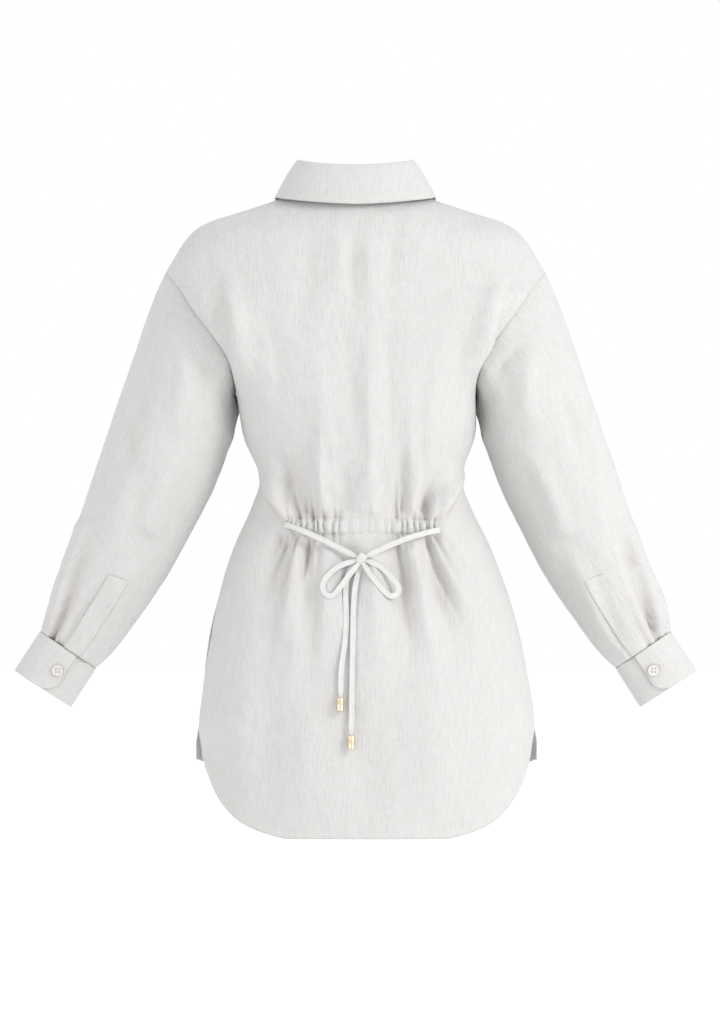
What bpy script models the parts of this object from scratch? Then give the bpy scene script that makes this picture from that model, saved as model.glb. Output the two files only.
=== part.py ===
"""A linen tunic shirt, filled out as it is when worn and seen best from the back.

Metres, +Z up. The front faces -Y, the wearer's left is +X, and the origin is the middle of the neck base.
Each cloth piece is a wall: a grid of points worked out from the tables, moved out and in by half its
thickness.
"""

import math

import bmesh
import bpy
import numpy as np
from mathutils import Vector

# Cloth and seams
CLOTH = 0.0018  # one layer of linen, at the least thickness that stays a sound wall
STIFF = 0.0022  # collar and cuffs
SEAM = 0.0003  # gap between pieces that are sewn together
LAP = STIFF + 0.0008  # how far the under layer of a lap is set in
LAY = CLOTH + 0.0007  # how far a strip's middle lies out from the middle of the panel it is sewn on

# Heights
UNDERARM_Z = -0.243
SLIT_Z = -0.661
NECK_HALF = 0.074
SHOULDER_HALF = 0.236

# Shoulder seam, from the neck to the armhole
SHOULDER = (
    # x, z
    (0.074, 0.009),
    (0.086, 0.001),
    (0.100, -0.0055),
    (0.118, -0.0115),
    (0.136, -0.0175),
    (0.160, -0.025),
    (0.177, -0.030),
    (0.190, -0.036),
    (0.201, -0.043),
    (0.212, -0.055),
    (0.221, -0.068),
    (0.228, -0.080),
    (0.236, -0.094),
)

# Armhole seam, from the shoulder to the underarm
ARMHOLE = (
    # share of the way, x, z, reach to the back, reach to the front
    (0.00, 0.236, -0.094, 0.000, 0.000),
    (0.15, 0.222, -0.111, 0.033, 0.030),
    (0.30, 0.203, -0.141, 0.056, 0.051),
    (0.50, 0.177, -0.176, 0.070, 0.064),
    (0.70, 0.158, -0.206, 0.068, 0.062),
    (0.85, 0.151, -0.230, 0.045, 0.041),
    (1.00, 0.149, -0.243, 0.000, 0.000),
)

# Half width of the torso from side seam to side seam, then of each panel below the slits
WIDTH = (
    # z, back, front
    (-0.243, 0.149, 0.149),
    (-0.268, 0.1475, 0.1475),
    (-0.292, 0.1455, 0.1455),
    (-0.305, 0.1425, 0.1425),
    (-0.330, 0.132, 0.132),
    (-0.342, 0.127, 0.127),
    (-0.355, 0.125, 0.125),
    (-0.380, 0.133, 0.133),
    (-0.405, 0.144, 0.144),
    (-0.430, 0.156, 0.156),
    (-0.455, 0.166, 0.166),
    (-0.505, 0.182, 0.182),
    (-0.555, 0.193, 0.193),
    (-0.605, 0.2025, 0.2025),
    (-0.661, 0.209, 0.209),
    (-0.686, 0.206, 0.2125),
    (-0.700, 0.204, 0.2125),
)

# How far the shirt leans to one side as it hangs
CENTRE = (
    # z, x
    (-0.243, 0.0),
    (-0.292, -0.0044),
    (-0.355, -0.0063),
    (-0.455, -0.0088),
    (-0.505, -0.0106),
    (-0.630, -0.0138),
    (-0.800, -0.0140),
)

# Profile at the centre back and the centre front
PROFILE = (
    # z, back, front
    (0.004, 0.064, 0.064),
    (-0.020, 0.077, 0.067),
    (-0.050, 0.090, 0.075),
    (-0.080, 0.099, 0.091),
    (-0.120, 0.108, 0.108),
    (-0.178, 0.115, 0.121),
    (-0.240, 0.114, 0.126),
    (-0.292, 0.108, 0.123),
    (-0.355, 0.095, 0.106),
    (-0.402, 0.092, 0.101),
    (-0.431, 0.093, 0.101),
    (-0.480, 0.104, 0.107),
    (-0.560, 0.121, 0.116),
    (-0.640, 0.129, 0.121),
    (-0.800, 0.133, 0.123),
)

# How far a row drops from its side end to its middle
DROP = (
    # row, back, front
    (0.0, 0.005, 0.059),
    (0.5, 0.022, 0.050),
    (1.0, 0.026, 0.038),
    (1.5, 0.012, 0.016),
    (2.0, 0.0, 0.0),
)

# How square a section is: 1 is an ellipse, and less is squarer
SQUARE = (
    # row, power
    (0.00, 0.80),
    (1.50, 0.80),
    (1.70, 0.75),
    (1.85, 0.61),
    (2.00, 0.45),
    (2.12, 0.60),
    (2.30, 0.80),
)

# Back hem, from the centre to the slit
BACK_HEM = (
    # distance from the centre, z
    (0.000, -0.800),
    (0.094, -0.800),
    (0.130, -0.792),
    (0.156, -0.780),
    (0.171, -0.767),
    (0.181, -0.755),
    (0.189, -0.742),
    (0.194, -0.730),
    (0.199, -0.717),
    (0.204, -0.700),
)
BACK_HEM_HALF = 0.204
FRONT_HEM_Z = -0.738
FRONT_CORNER_Z = -0.704

# Share of the back's width that the drawstring draws in, by height
GATHER = (
    # z, share
    (-0.250, 0.0),
    (-0.330, 0.35),
    (-0.392, 1.0),
    (-0.436, 1.0),
    (-0.500, 0.35),
    (-0.600, 0.0),
)
GATHER_SHIFT = 0.19
GATHER_POWER = 1.4

# Sleeve sections, from the armhole to the cuff
SLEEVE = (
    # share of the way, outer x, outer z, inner x, inner z, half depth, middle y
    (0.000, 0.236, -0.094, 0.149, -0.243, 0.068, 0.003),
    (0.080, 0.252, -0.130, 0.153, -0.253, 0.071, 0.001),
    (0.165, 0.266, -0.167, 0.156, -0.268, 0.072, -0.001),
    (0.265, 0.281, -0.213, 0.155, -0.296, 0.070, -0.003),
    (0.380, 0.299, -0.265, 0.163, -0.322, 0.067, -0.006),
    (0.490, 0.316, -0.314, 0.178, -0.362, 0.063, -0.011),
    (0.600, 0.333, -0.364, 0.200, -0.406, 0.059, -0.018),
    (0.710, 0.350, -0.414, 0.225, -0.454, 0.054, -0.026),
    (0.815, 0.366, -0.461, 0.252, -0.498, 0.049, -0.034),
    (0.907, 0.381, -0.502, 0.282, -0.541, 0.043, -0.042),
    (0.966, 0.390, -0.529, 0.306, -0.571, 0.036, -0.047),
    (1.000, 0.3945, -0.5445, 0.326, -0.590, 0.030, -0.050),
)
SLEEVE_LEAN = 0.004  # the inner edges follow the torso's lean
ARMHOLE_BLEND = 0.3  # share of the sleeve over which the armhole's shape turns into a plain tube
SLEEVE_FOLDS_FROM = 0.12  # share of the sleeve over which its folds start below the armhole

# Cuff
CUFF_END = (0.4275, -0.594, 0.3575, -0.639, 0.031, -0.060)
CUFF_UNDER = 0.40  # where the under layer starts, in half turns from the outer edge over the back
CUFF_LAP_EDGE = 0.61
CUFF_CORNER = 0.020
CUFF_LENGTH = 0.060
CUFF_HALF_GIRTH = 0.115
CUFF_FINE_FROM = 2.2  # half turns from which columns lie closer, for the rounded corner
CUFF_ROWS = 3
CUFF_BUTTON_IN = 0.085  # half turns from the lap's edge to the button's middle
CUFF_BUTTON_DOWN = 0.48
CUFF_OUT_FROM, CUFF_OUT_OVER = 0.04, 0.25  # half turns past the lap's edge where the under layer comes out

# Collar, by station: 0 centre back, 1 side, 2 centre front; all from the neck seam
COLLAR = (
    # station, stand in, stand up, fold out, fold up, edge out, edge up, edge sideways
    (0.0, 0.004, 0.033, -0.0010, 0.037, 0.020, -0.013, 0.000),
    (1.0, 0.004, 0.033, -0.0010, 0.037, 0.026, -0.0105, 0.000),
    (1.4, 0.004, 0.031, -0.0010, 0.035, 0.027, -0.010, 0.004),
    (1.7, 0.003, 0.028, -0.0005, 0.032, 0.028, -0.020, 0.018),
    (2.0, 0.003, 0.026, 0.0000, 0.030, 0.030, -0.032, 0.040),
)
COLLAR_MEET = 0.002  # half of the gap between the two leaves at the centre front

# Front closing
FRONT_LAP = 0.015
LAP_FULL = 0.022
LAP_GONE = 0.055
FRONT_PLACKET_ROWS = (0.06, 3.97)  # it stops just short of the collar and the hem

# Casing across the back waist
CASING_TOP = -0.401
CASING_BOTTOM = -0.431
CASING_LEFT = 0.084
CASING_RIGHT = -0.1025
RUCHE_HEIGHT = 0.0022
RUCHES = 23
RUCHE_CROWD = 0.07  # how much closer they lie towards the ends
RUCHE_AT_EDGE = 0.35  # share of their height left at the stitched edges
CASING_LIFT = 0.0011  # room under the casing for its ruches
PLACKET_LIFT = 0.0004
SLEEVE_PLACKET_LIFT = 0.0006

# Sleeve placket, in half turns round the sleeve
PLACKET_LOW = (0.43, 0.595)
PLACKET_HIGH = (0.445, 0.565)
PLACKET_FROM, PLACKET_TO = 0.735, 0.988  # share of the way down the sleeve

# Buttons
BUTTON_THICK = 0.0026
FRONT_BUTTON = 0.0060
CUFF_BUTTON = 0.0075
FRONT_BUTTON_FIRST = -0.105
FRONT_BUTTON_STEP = 0.090
FRONT_BUTTONS = 7

# Drawstring
STRAP_WIDTH = 0.007
STRAP_THICK = 0.0018
TIP_RADIUS = 0.0045
TIP_LENGTH = 0.017

# Large folds of the back: ridges, and troughs where the height is negative
BACK_FOLDS = (
    # x1, z1, x2, z2, bow, height, reach
    (0.163, -0.075, 0.136, -0.250, 0.004, 0.009, 0.012),
    (0.184, -0.100, 0.160, -0.225, 0.004, -0.004, 0.011),
    (-0.186, -0.075, -0.146, -0.250, -0.004, 0.009, 0.012),
    (-0.196, -0.125, -0.172, -0.225, -0.004, -0.004, 0.011),
    (0.112, -0.315, 0.077, -0.408, -0.004, 0.009, 0.012),
    (0.087, -0.318, 0.063, -0.402, 0.0, -0.006, 0.009),
    (0.052, -0.300, 0.036, -0.402, 0.0, 0.006, 0.011),
    (0.019, -0.320, 0.012, -0.400, 0.0, -0.004, 0.010),
    (-0.012, -0.310, -0.018, -0.402, 0.0, 0.005, 0.012),
    (-0.034, -0.325, -0.038, -0.400, 0.0, -0.004, 0.009),
    (-0.060, -0.295, -0.057, -0.402, 0.0, -0.006, 0.009),
    (-0.079, -0.310, -0.071, -0.402, 0.0, 0.006, 0.009),
    (-0.096, -0.330, -0.084, -0.400, 0.0, -0.005, 0.008),
    (-0.128, -0.318, -0.095, -0.408, 0.004, 0.009, 0.012),
    (0.084, -0.424, 0.122, -0.520, 0.0, -0.007, 0.011),
    (0.070, -0.424, 0.104, -0.580, 0.004, 0.008, 0.013),
    (0.054, -0.426, 0.070, -0.560, 0.0, -0.006, 0.011),
    (0.034, -0.426, 0.044, -0.620, 0.0, 0.006, 0.015),
    (0.008, -0.428, 0.008, -0.540, 0.0, -0.004, 0.013),
    (-0.022, -0.426, -0.030, -0.620, 0.0, 0.006, 0.016),
    (-0.050, -0.426, -0.062, -0.560, 0.0, -0.006, 0.012),
    (-0.064, -0.426, -0.098, -0.600, -0.003, 0.008, 0.013),
    (-0.082, -0.424, -0.140, -0.565, -0.003, -0.008, 0.012),
    (-0.098, -0.424, -0.160, -0.540, -0.004, 0.006, 0.013),
    (0.060, -0.560, 0.066, -0.810, 0.0, 0.006, 0.026),
    (-0.090, -0.560, -0.110, -0.810, 0.0, 0.007, 0.028),
    (-0.015, -0.600, -0.012, -0.830, 0.0, -0.005, 0.026),
    (0.130, -0.500, 0.150, -0.780, 0.0, 0.006, 0.022),
)

# Large folds of the front, which hangs loose from the bust
FRONT_FOLDS = (
    # x1, z1, x2, z2, bow, height, reach
    (0.150, -0.085, 0.118, -0.250, 0.004, 0.006, 0.014),
    (-0.150, -0.085, -0.122, -0.245, -0.004, 0.006, 0.014),
    (0.085, -0.230, 0.070, -0.470, 0.006, 0.007, 0.016),
    (-0.092, -0.240, -0.078, -0.480, -0.006, 0.007, 0.016),
    (0.112, -0.330, 0.130, -0.620, 0.004, -0.006, 0.018),
    (-0.116, -0.330, -0.140, -0.620, -0.004, -0.006, 0.018),
    (0.060, -0.450, 0.078, -0.760, 0.0, 0.007, 0.022),
    (-0.070, -0.450, -0.092, -0.760, 0.0, 0.007, 0.022),
)

# Large folds of a sleeve's back and front, for the wearer's left; the right one mirrors them
SLEEVE_BACK_FOLDS = (
    # x1, z1, x2, z2, bow, height, reach
    (0.214, -0.165, 0.228, -0.330, 0.006, 0.006, 0.014),
    (0.246, -0.190, 0.300, -0.380, -0.005, -0.005, 0.014),
    (0.205, -0.300, 0.262, -0.430, -0.006, 0.005, 0.013),
    (0.318, -0.385, 0.372, -0.552, -0.006, -0.007, 0.010),
    (0.334, -0.400, 0.384, -0.560, -0.004, 0.006, 0.010),
    (0.262, -0.440, 0.322, -0.566, -0.004, 0.005, 0.012),
    (0.292, -0.480, 0.345, -0.585, -0.002, -0.003, 0.010),
)
SLEEVE_FRONT_FOLDS = (
    # x1, z1, x2, z2, bow, height, reach
    (0.205, -0.180, 0.216, -0.320, 0.008, 0.006, 0.014),
    (0.240, -0.250, 0.292, -0.400, -0.006, -0.006, 0.014),
    (0.222, -0.350, 0.300, -0.480, -0.005, 0.006, 0.014),
    (0.300, -0.420, 0.360, -0.575, -0.004, -0.006, 0.011),
    (0.330, -0.440, 0.380, -0.570, -0.004, 0.005, 0.010),
)

# The drawstring's route, stretch by stretch
STRING_LEFT = (
    (0.0872, 0.0833, -0.4105),
    (0.0720, 0.0903, -0.4155),
    (0.0520, 0.0961, -0.4240),
    (0.0300, 0.1003, -0.4345),
    (-0.0006, 0.1040, -0.4500),
)
STRING_RIGHT = (
    (-0.1048, 0.0826, -0.4170),
    (-0.0880, 0.0898, -0.4205),
    (-0.0660, 0.0958, -0.4270),
    (-0.0430, 0.1000, -0.4360),
    (-0.0134, 0.1040, -0.4500),
)
LOOP_LEFT = (
    (-0.0004, 0.1063, -0.4552),
    (0.0180, 0.1078, -0.4610),
    (0.0340, 0.1093, -0.4730),
    (0.0405, 0.1110, -0.4860),
    (0.0370, 0.1133, -0.4960),
    (0.0290, 0.1138, -0.4985),
    (0.0190, 0.1138, -0.4880),
    (0.0070, 0.1128, -0.4720),
    (-0.0020, 0.1092, -0.4610),
)
LOOP_RIGHT = (
    (-0.0138, 0.1063, -0.4552),
    (-0.0300, 0.1084, -0.4620),
    (-0.0440, 0.1099, -0.4750),
    (-0.0530, 0.1104, -0.4870),
    (-0.0520, 0.1109, -0.4960),
    (-0.0430, 0.1124, -0.4985),
    (-0.0320, 0.1137, -0.4890),
    (-0.0200, 0.1129, -0.4740),
    (-0.0115, 0.1090, -0.4612),
)
TAIL_LEFT = (
    (-0.0005, 0.1034, -0.4588),
    (0.0095, 0.1053, -0.4725),
    (0.0122, 0.1088, -0.4950),
    (0.0112, 0.1160, -0.5280),
    (0.0135, 0.1231, -0.5600),
    (0.0175, 0.1286, -0.5900),
    (0.0185, 0.1333, -0.6245),
)
TAIL_RIGHT = (
    (-0.0070, 0.1030, -0.4612),
    (-0.0010, 0.1077, -0.4800),
    (0.0020, 0.1127, -0.5050),
    (0.0028, 0.1199, -0.5350),
    (0.0035, 0.1269, -0.5750),
    (0.0045, 0.1319, -0.6250),
    (0.0050, 0.1356, -0.6715),
)
KNOT = (-0.0070, 0.1050, -0.4530)
KNOT_HALF = (0.0062, 0.0050, 0.0075)

# Where folds die out
ARM_FADE = 0.16  # share of a panel's half width
ARM_FADE_ROWS = (0.7, 1.0, 2.1, 2.3)
NECK_FADE_ROWS = 0.4

# Grid steps
BACK_COLUMNS = 44
FRONT_COLUMNS = 9
ARM_ROWS = 10
SHOULDER_ROWS = (0.0, 0.15, 0.38, 0.68)
TORSO_Z = (
    -0.243, -0.278, -0.312, -0.338, -0.358, -0.378, -0.400,
    -0.416, -0.432, -0.456, -0.488, -0.530, -0.590, -0.661,
)
FRONT_TORSO_Z = (-0.243, -0.290, -0.330, -0.355, -0.390, -0.440, -0.500, -0.580, -0.661)
SLEEVE_ROWS = 15
HEM_ROWS = (0.34, 0.68, 1.0)
FRONT_HEM_ROWS = (0.5, 1.0)

LINEN = (0.78, 0.77, 0.755)
PEARL = (0.86, 0.85, 0.82)
METAL = (0.83, 0.79, 0.70)

BACK, FRONT = 1, -1
LEFT, RIGHT = 1, -1


def read(rows, keys):
    """The other columns of a table at the keys, on a smooth curve that never overshoots its rows."""
    table = np.array(sorted(rows), float)
    key, values = table[:, 0], table[:, 1:]
    rises = np.diff(values, axis=0) / np.diff(key)[:, None]
    both = rises[:-1] * rises[1:]
    slopes = np.vstack([rises[:1], np.zeros_like(both), rises[-1:]])
    np.divide(2 * both, rises[:-1] + rises[1:], out=slopes[1:-1], where=both > 0)
    keys = np.clip(np.asarray(keys, float), key[0], key[-1])
    i = np.clip(np.searchsorted(key, keys, side="right") - 1, 0, len(key) - 2)
    step = (key[i + 1] - key[i])[..., None]
    t = (keys - key[i])[..., None] / step
    found = (
        values[i] * (1 + 2 * t) * (1 - t) ** 2
        + slopes[i] * step * t * (1 - t) ** 2
        + values[i + 1] * t * t * (3 - 2 * t)
        + slopes[i + 1] * step * t * t * (t - 1)
    )
    return np.moveaxis(found, -1, 0)


def ease(t):
    """0 to 1 with a soft start and end."""
    t = np.clip(t, 0, 1)
    return t * t * (3 - 2 * t)


def unit(vectors):
    return vectors / np.maximum(np.linalg.norm(vectors, axis=-1, keepdims=True), 1e-12)


def relief(folds, x, z):
    """How far the folds raise the cloth at x, z: each is a soft ridge along a bowed line."""
    total = np.zeros(np.broadcast(x, z).shape)
    for x1, z1, x2, z2, bow, height, reach in folds:
        dx, dz = x2 - x1, z2 - z1
        length = math.hypot(dx, dz)
        along = ((x - x1) * dx + (z - z1) * dz) / length**2
        inside = np.clip(along, 0, 1)
        off = ((x - x1) * dz - (z - z1) * dx) / length - bow * 4 * inside * (1 - inside)
        fade = np.clip(1 - (2 * along - 1) ** 4, 0, None)
        total += height * fade * np.exp(-((off / reach) ** 2))
    return total


def hem_z(face, theta):
    """Height of the hem below each column."""
    side = np.abs(np.sin(theta))
    if face == BACK:
        return read(BACK_HEM, BACK_HEM_HALF * side)[0]
    return FRONT_HEM_Z + (FRONT_CORNER_Z - FRONT_HEM_Z) * side**3


def panel(face, theta, row):
    """Points of the back or front before its folds.

    row goes 0 to 1 down the shoulder seam, to 2 down the armhole, to 3 down the side seam, to 4 at the hem.
    theta goes from a quarter turn at the wearer's left seam to minus a quarter at the right one.
    """
    which = 0 if face == BACK else 1
    cos, sin = np.clip(np.cos(theta), 0, None), np.sin(theta)
    shoulder_x = NECK_HALF + (SHOULDER_HALF - NECK_HALF) * np.clip(row, 0, 1)
    arm_x, arm_z, arm_back, arm_front = read(ARMHOLE, row - 1)
    side_x = np.where(row < 1, shoulder_x, arm_x)
    side_y = np.where(row < 1, 0, (arm_back, arm_front)[which])
    side_z = np.where(row < 1, read(SHOULDER, shoulder_x)[0], arm_z)
    torso_z = UNDERARM_Z + (SLIT_Z - UNDERARM_Z) * np.clip(row - 2, 0, 1)
    torso_z = torso_z + (hem_z(face, theta) - SLIT_Z) * np.clip(row - 3, 0, 1)
    low = row >= 2
    drop = read(DROP, row)[which]
    z = np.where(low, torso_z, side_z - drop * cos)
    centre = np.where(low, read(CENTRE, torso_z)[0], 0)
    width = np.where(low, read(WIDTH, torso_z)[which], side_x)
    depth = read(PROFILE, np.where(low, torso_z, side_z - drop))[which]
    x = centre + width * sin
    y = face * (side_y + (depth - side_y) * cos ** read(SQUARE, row)[0])
    return np.stack(np.broadcast_arrays(x, y, z), axis=-1)


def half_width(face, row):
    """Half of the distance between a panel's two sides."""
    return (panel(face, math.pi / 2, row)[..., 0] - panel(face, -math.pi / 2, row)[..., 0]) / 2


def gathered(across, row):
    """theta of a column of the back, drawn in towards the middle at the casing."""
    z = UNDERARM_Z + (SLIT_Z - UNDERARM_Z) * (row - 2)
    share = read(GATHER, z)[0]
    shift = np.sign(across) * np.sin(math.pi * np.abs(across) ** GATHER_POWER)
    return (across - GATHER_SHIFT * share * shift) * math.pi / 2


def row_of(z):
    """The row at a height between the underarm and the slits."""
    return 2 + (np.asarray(z) - UNDERARM_Z) / (SLIT_Z - UNDERARM_Z)


def sleeve(side, turn, down):
    """Points of a sleeve before its folds.

    turn is 0 at the outer edge, 0.5 at the back, 1 under the arm and 1.5 at the front.
    down is 0 at the armhole and 1 at the cuff seam.
    """
    cos, sin = np.cos(math.pi * turn), np.sin(math.pi * turn)

    def section(down):
        outer_x, outer_z, inner_x, inner_z, depth, mid_y = read(SLEEVE, down)
        inner_x = inner_x - side * SLEEVE_LEAN * ease(down / ARMHOLE_BLEND) * (1 - down)
        x = (outer_x + inner_x) / 2 + (outer_x - inner_x) / 2 * cos
        z = (outer_z + inner_z) / 2 + (outer_z - inner_z) / 2 * cos
        return np.stack(np.broadcast_arrays(x, mid_y + depth * sin, z), axis=-1)

    share = np.where(turn <= 1, turn, 2 - turn)
    arm_x, arm_z, arm_back, arm_front = read(ARMHOLE, share)
    armhole = np.stack([arm_x, np.where(turn <= 1, arm_back, -arm_front), arm_z], axis=-1)
    fade = 1 - ease(down / ARMHOLE_BLEND)[..., None]
    points = section(down) + (armhole - section(np.zeros_like(down))) * fade
    return points * (side, 1, 1)


def normals_of(points, closed=False):
    """A unit normal at each point of a grid, rows down and columns across."""
    if closed:
        across = np.roll(points, -1, axis=1) - np.roll(points, 1, axis=1)
    else:
        across = np.gradient(points, axis=1)
    return unit(np.cross(across, np.gradient(points, axis=0)))


def crossing(edge, directions, towards):
    """The way across a seam at each of its points, on the side that towards names."""
    across = unit(np.cross(np.gradient(edge, axis=0), directions))
    return across * np.sign((across * towards).sum(-1, keepdims=True))


def mitred(first, second):
    """The direction that two walls share at a seam, long enough to keep their thickness round its corner."""
    middle = unit(first + second)
    cosine = (middle * first).sum(-1, keepdims=True)
    return middle / np.clip(cosine, 0.71, 1)


def add_object(name, mesh, colour, roughness, metallic=0.0):
    """A named object with a material of its own."""
    obj = bpy.data.objects.new(name, mesh)
    PARTS.objects.link(obj)
    material = bpy.data.materials.new(name)
    material.use_nodes = True
    shader = material.node_tree.nodes["Principled BSDF"]
    shader.inputs["Base Color"].default_value = (*colour, 1)
    shader.inputs["Roughness"].default_value = roughness
    shader.inputs["Metallic"].default_value = metallic
    mesh.materials.append(material)
    return obj


def wall(name, points, directions, thick=CLOTH, closed=False, colour=LINEN):
    """A closed wall round a grid of points, half of its thickness to each side."""
    rows, columns = points.shape[:2]
    outer = points + directions * thick / 2
    inner = points - directions * thick / 2
    corners = np.concatenate([outer.reshape(-1, 3), inner.reshape(-1, 3)])
    count = rows * columns
    steps = columns if closed else columns - 1

    def at(row, column):
        return row * columns + column % columns

    faces = []
    for row in range(rows - 1):
        for column in range(steps):
            quad = (at(row, column), at(row + 1, column), at(row + 1, column + 1), at(row, column + 1))
            faces.append(quad)
            faces.append(tuple(count + corner for corner in reversed(quad)))
    for row in (0, rows - 1):
        for column in range(steps):
            faces.extend(rim(corners, at(row, column), at(row, column + 1), count))
    if not closed:
        for column in (0, columns - 1):
            for row in range(rows - 1):
                faces.extend(rim(corners, at(row, column), at(row + 1, column), count))
    mesh = bpy.data.meshes.new(name)
    mesh.from_pydata(corners.tolist(), [], faces)
    face_out(mesh)
    mesh.shade_smooth()
    return add_object(name, mesh, colour, 0.9)


def rim(corners, first, second, count):
    """Two faces that close a wall along an edge, split the same way on both sides of a seam."""
    low, high = (first, second) if corners[first][2] < corners[second][2] else (second, first)
    return (low, high, count + high), (low, count + high, count + low)


def face_out(mesh):
    """Turns a closed mesh's faces out."""
    grown = bmesh.new()
    grown.from_mesh(mesh)
    bmesh.ops.recalc_face_normals(grown, faces=grown.faces)
    if grown.calc_volume(signed=True) < 0:
        bmesh.ops.reverse_faces(grown, faces=grown.faces)
    grown.to_mesh(mesh)
    grown.free()


def make_rows(torso_z, below):
    """Rows of a panel, from the neck to the hem."""
    arm = [1 + i / ARM_ROWS for i in range(ARM_ROWS)]
    return np.array([*SHOULDER_ROWS, *arm, *row_of(torso_z), *(3 + np.array(below))])[:, None]


def back_base(across, rows):
    """Points, outward normals and fold heights of the back's grid."""
    theta = gathered(across, rows)
    points = panel(BACK, theta, rows)
    heights = relief(BACK_FOLDS, points[..., 0], points[..., 2])
    return points, normals_of(points), heights * fold_fade(theta, rows)


def fold_fade(theta, rows):
    """Folds die out at the neck and the armhole, where they are sewn down."""
    start, full, low, end = ARM_FADE_ROWS
    from_arm = ease((1 - np.abs(theta) / (math.pi / 2)) / ARM_FADE)
    armhole = ease((rows - start) / (full - start)) * ease((end - rows) / (end - low))
    return (1 + (from_arm - 1) * armhole) * ease(rows / NECK_FADE_ROWS)


def front_base(side, columns, rows):
    """Points, outward normals and fold heights of a front: columns go 0 at the side seam to 1 at its edge."""
    theta = side * (math.pi / 2 - (math.pi / 2 + np.arcsin(FRONT_LAP / half_width(FRONT, rows))) * columns)
    points = panel(FRONT, theta, rows)
    normals = normals_of(points) * side
    heights = relief(FRONT_FOLDS, points[..., 0], points[..., 2]) * fold_fade(theta, rows)
    if side == LEFT:
        heights = heights - LAP * (1 - ease((points[..., 0] - LAP_FULL) / (LAP_GONE - LAP_FULL)))
    return points, normals, heights


def sleeve_base(side, turns, downs):
    """Points, outward normals and fold heights of a sleeve's grid."""
    points = sleeve(side, turns, downs)
    normals = -normals_of(points, closed=True) * side
    x, z = points[..., 0] * side, points[..., 2]
    back = relief(SLEEVE_BACK_FOLDS, x, z)
    front = relief(SLEEVE_FRONT_FOLDS, x, z)
    share = ease(0.5 + 3 * np.sin(math.pi * turns))
    heights = (back * share + front * (1 - share)) * ease(downs / SLEEVE_FOLDS_FROM)
    return points, normals, heights


def armhole_seam(side, grids):
    """Shared points and directions round an armhole, as the sleeve's first row lists them."""
    back, front, tube = grids["back"], grids["front_left" if side == LEFT else "front_right"], grids[side]
    first = len(SHOULDER_ROWS)
    rows = slice(first, first + ARM_ROWS + 1)
    back_column = -1 if side == LEFT else 0
    back_normals = back[1][rows, back_column]
    front_normals = front[1][rows, 0]
    body = np.concatenate([back_normals, front_normals[-2:0:-1]])
    ring = tube[0][0]
    share = mitred(body, tube[1][0])
    for corner in (0, ARM_ROWS):
        share[corner, 1] = 0
    wrapped = np.concatenate([ring[-1:], ring, ring[:1]])
    around = np.concatenate([share[-1:], share, share[:1]])
    across = crossing(wrapped, around, np.array((side, 0, -0.6)))[1:-1]
    for corner in (0, ARM_ROWS):
        across[corner, 1] = 0
    return ring, share, unit(across)


def neck_stations():
    """Stations of the panels' neck points: 0 centre back, 1 side, 2 centre front, minus on the right."""
    front = 1 + (1 + math.asin(FRONT_LAP / NECK_HALF) / (math.pi / 2)) * np.linspace(0, 1, FRONT_COLUMNS + 1)
    back = np.linspace(1, -1, BACK_COLUMNS + 1)
    return front, back


def neck_seam(grids):
    """Shared points, directions and stations of the neck seam, from the left front to the right one."""
    front, back = neck_stations()
    order = (
        ("front_left", slice(None, 0, -1), front[:0:-1]),
        ("back", slice(None, None, -1), back),
        ("front_right", slice(1, None), -front[1:]),
    )
    points = np.concatenate([grids[name][0][0][cut] for name, cut, _ in order])
    normals = np.concatenate([grids[name][1][0][cut] for name, cut, _ in order])
    heights = np.concatenate([grids[name][2][0][cut] for name, cut, _ in order])
    stations = np.concatenate([found for _, _, found in order])
    share = mitred(unit(normals), outward(points))
    for corner in (FRONT_COLUMNS, FRONT_COLUMNS + BACK_COLUMNS):
        share[corner, 1] = 0
    ring = points + share * heights[:, None]
    across = crossing(ring, share, np.array((0, 0, 1.0)))
    return ring, share, across, stations


def outward(ring):
    """Level directions out from a line of points round the neck."""
    along = np.gradient(ring, axis=0) * (1, 1, 0)
    out = unit(np.stack([-along[:, 1], along[:, 0], np.zeros(len(ring))], axis=-1))
    return out * np.sign((out * (ring - ring.mean(axis=0))).sum(-1, keepdims=True))


def build_body(grids, seams, neck):
    """The back and the two fronts, whose edges share their seams' directions."""
    first = len(SHOULDER_ROWS)
    arm = slice(first, first + ARM_ROWS + 1)
    ring, share, across, _ = neck
    left_side, right_side = FRONT_COLUMNS, FRONT_COLUMNS + BACK_COLUMNS
    parts = (
        ("back", BACK, np.arange(right_side, left_side - 1, -1), ((LEFT, -1), (RIGHT, 0))),
        ("front_left", FRONT, np.arange(left_side, -1, -1), ((LEFT, 0),)),
        ("front_right", FRONT, np.arange(right_side, len(ring)), ((RIGHT, 0),)),
    )
    for name, face, picked, sides in parts:
        points, normals, heights = grids[name]
        directions = normals.copy()
        for _, column in sides:
            directions[:, column, 1] = 0
            directions[:, column] = unit(directions[:, column])
        placed = points + directions * heights[..., None]
        placed[0] = ring[picked] - across[picked] * SEAM / 2
        directions[0] = share[picked]
        for side, column in sides:
            armhole, arm_share, arm_across = seams[side]
            edge = np.arange(ARM_ROWS + 1) * face % len(armhole)
            placed[arm, column] = armhole[edge] - arm_across[edge] * SEAM / 2
            directions[arm, column] = arm_share[edge]
            placed[:, column, 1] += face * SEAM / 2
        wall(name, placed, directions)


def build_sleeves(grids, seams):
    for side, name in ((LEFT, "sleeve_left"), (RIGHT, "sleeve_right")):
        points, normals, heights = grids[side]
        directions = normals.copy()
        directions[-1] = ring_normals(points[-1])
        placed = points + directions * heights[..., None]
        ring, share, across = seams[side]
        placed[0] = ring + across * SEAM / 2
        directions[0] = share
        wall(name, placed, directions, closed=True)


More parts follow.
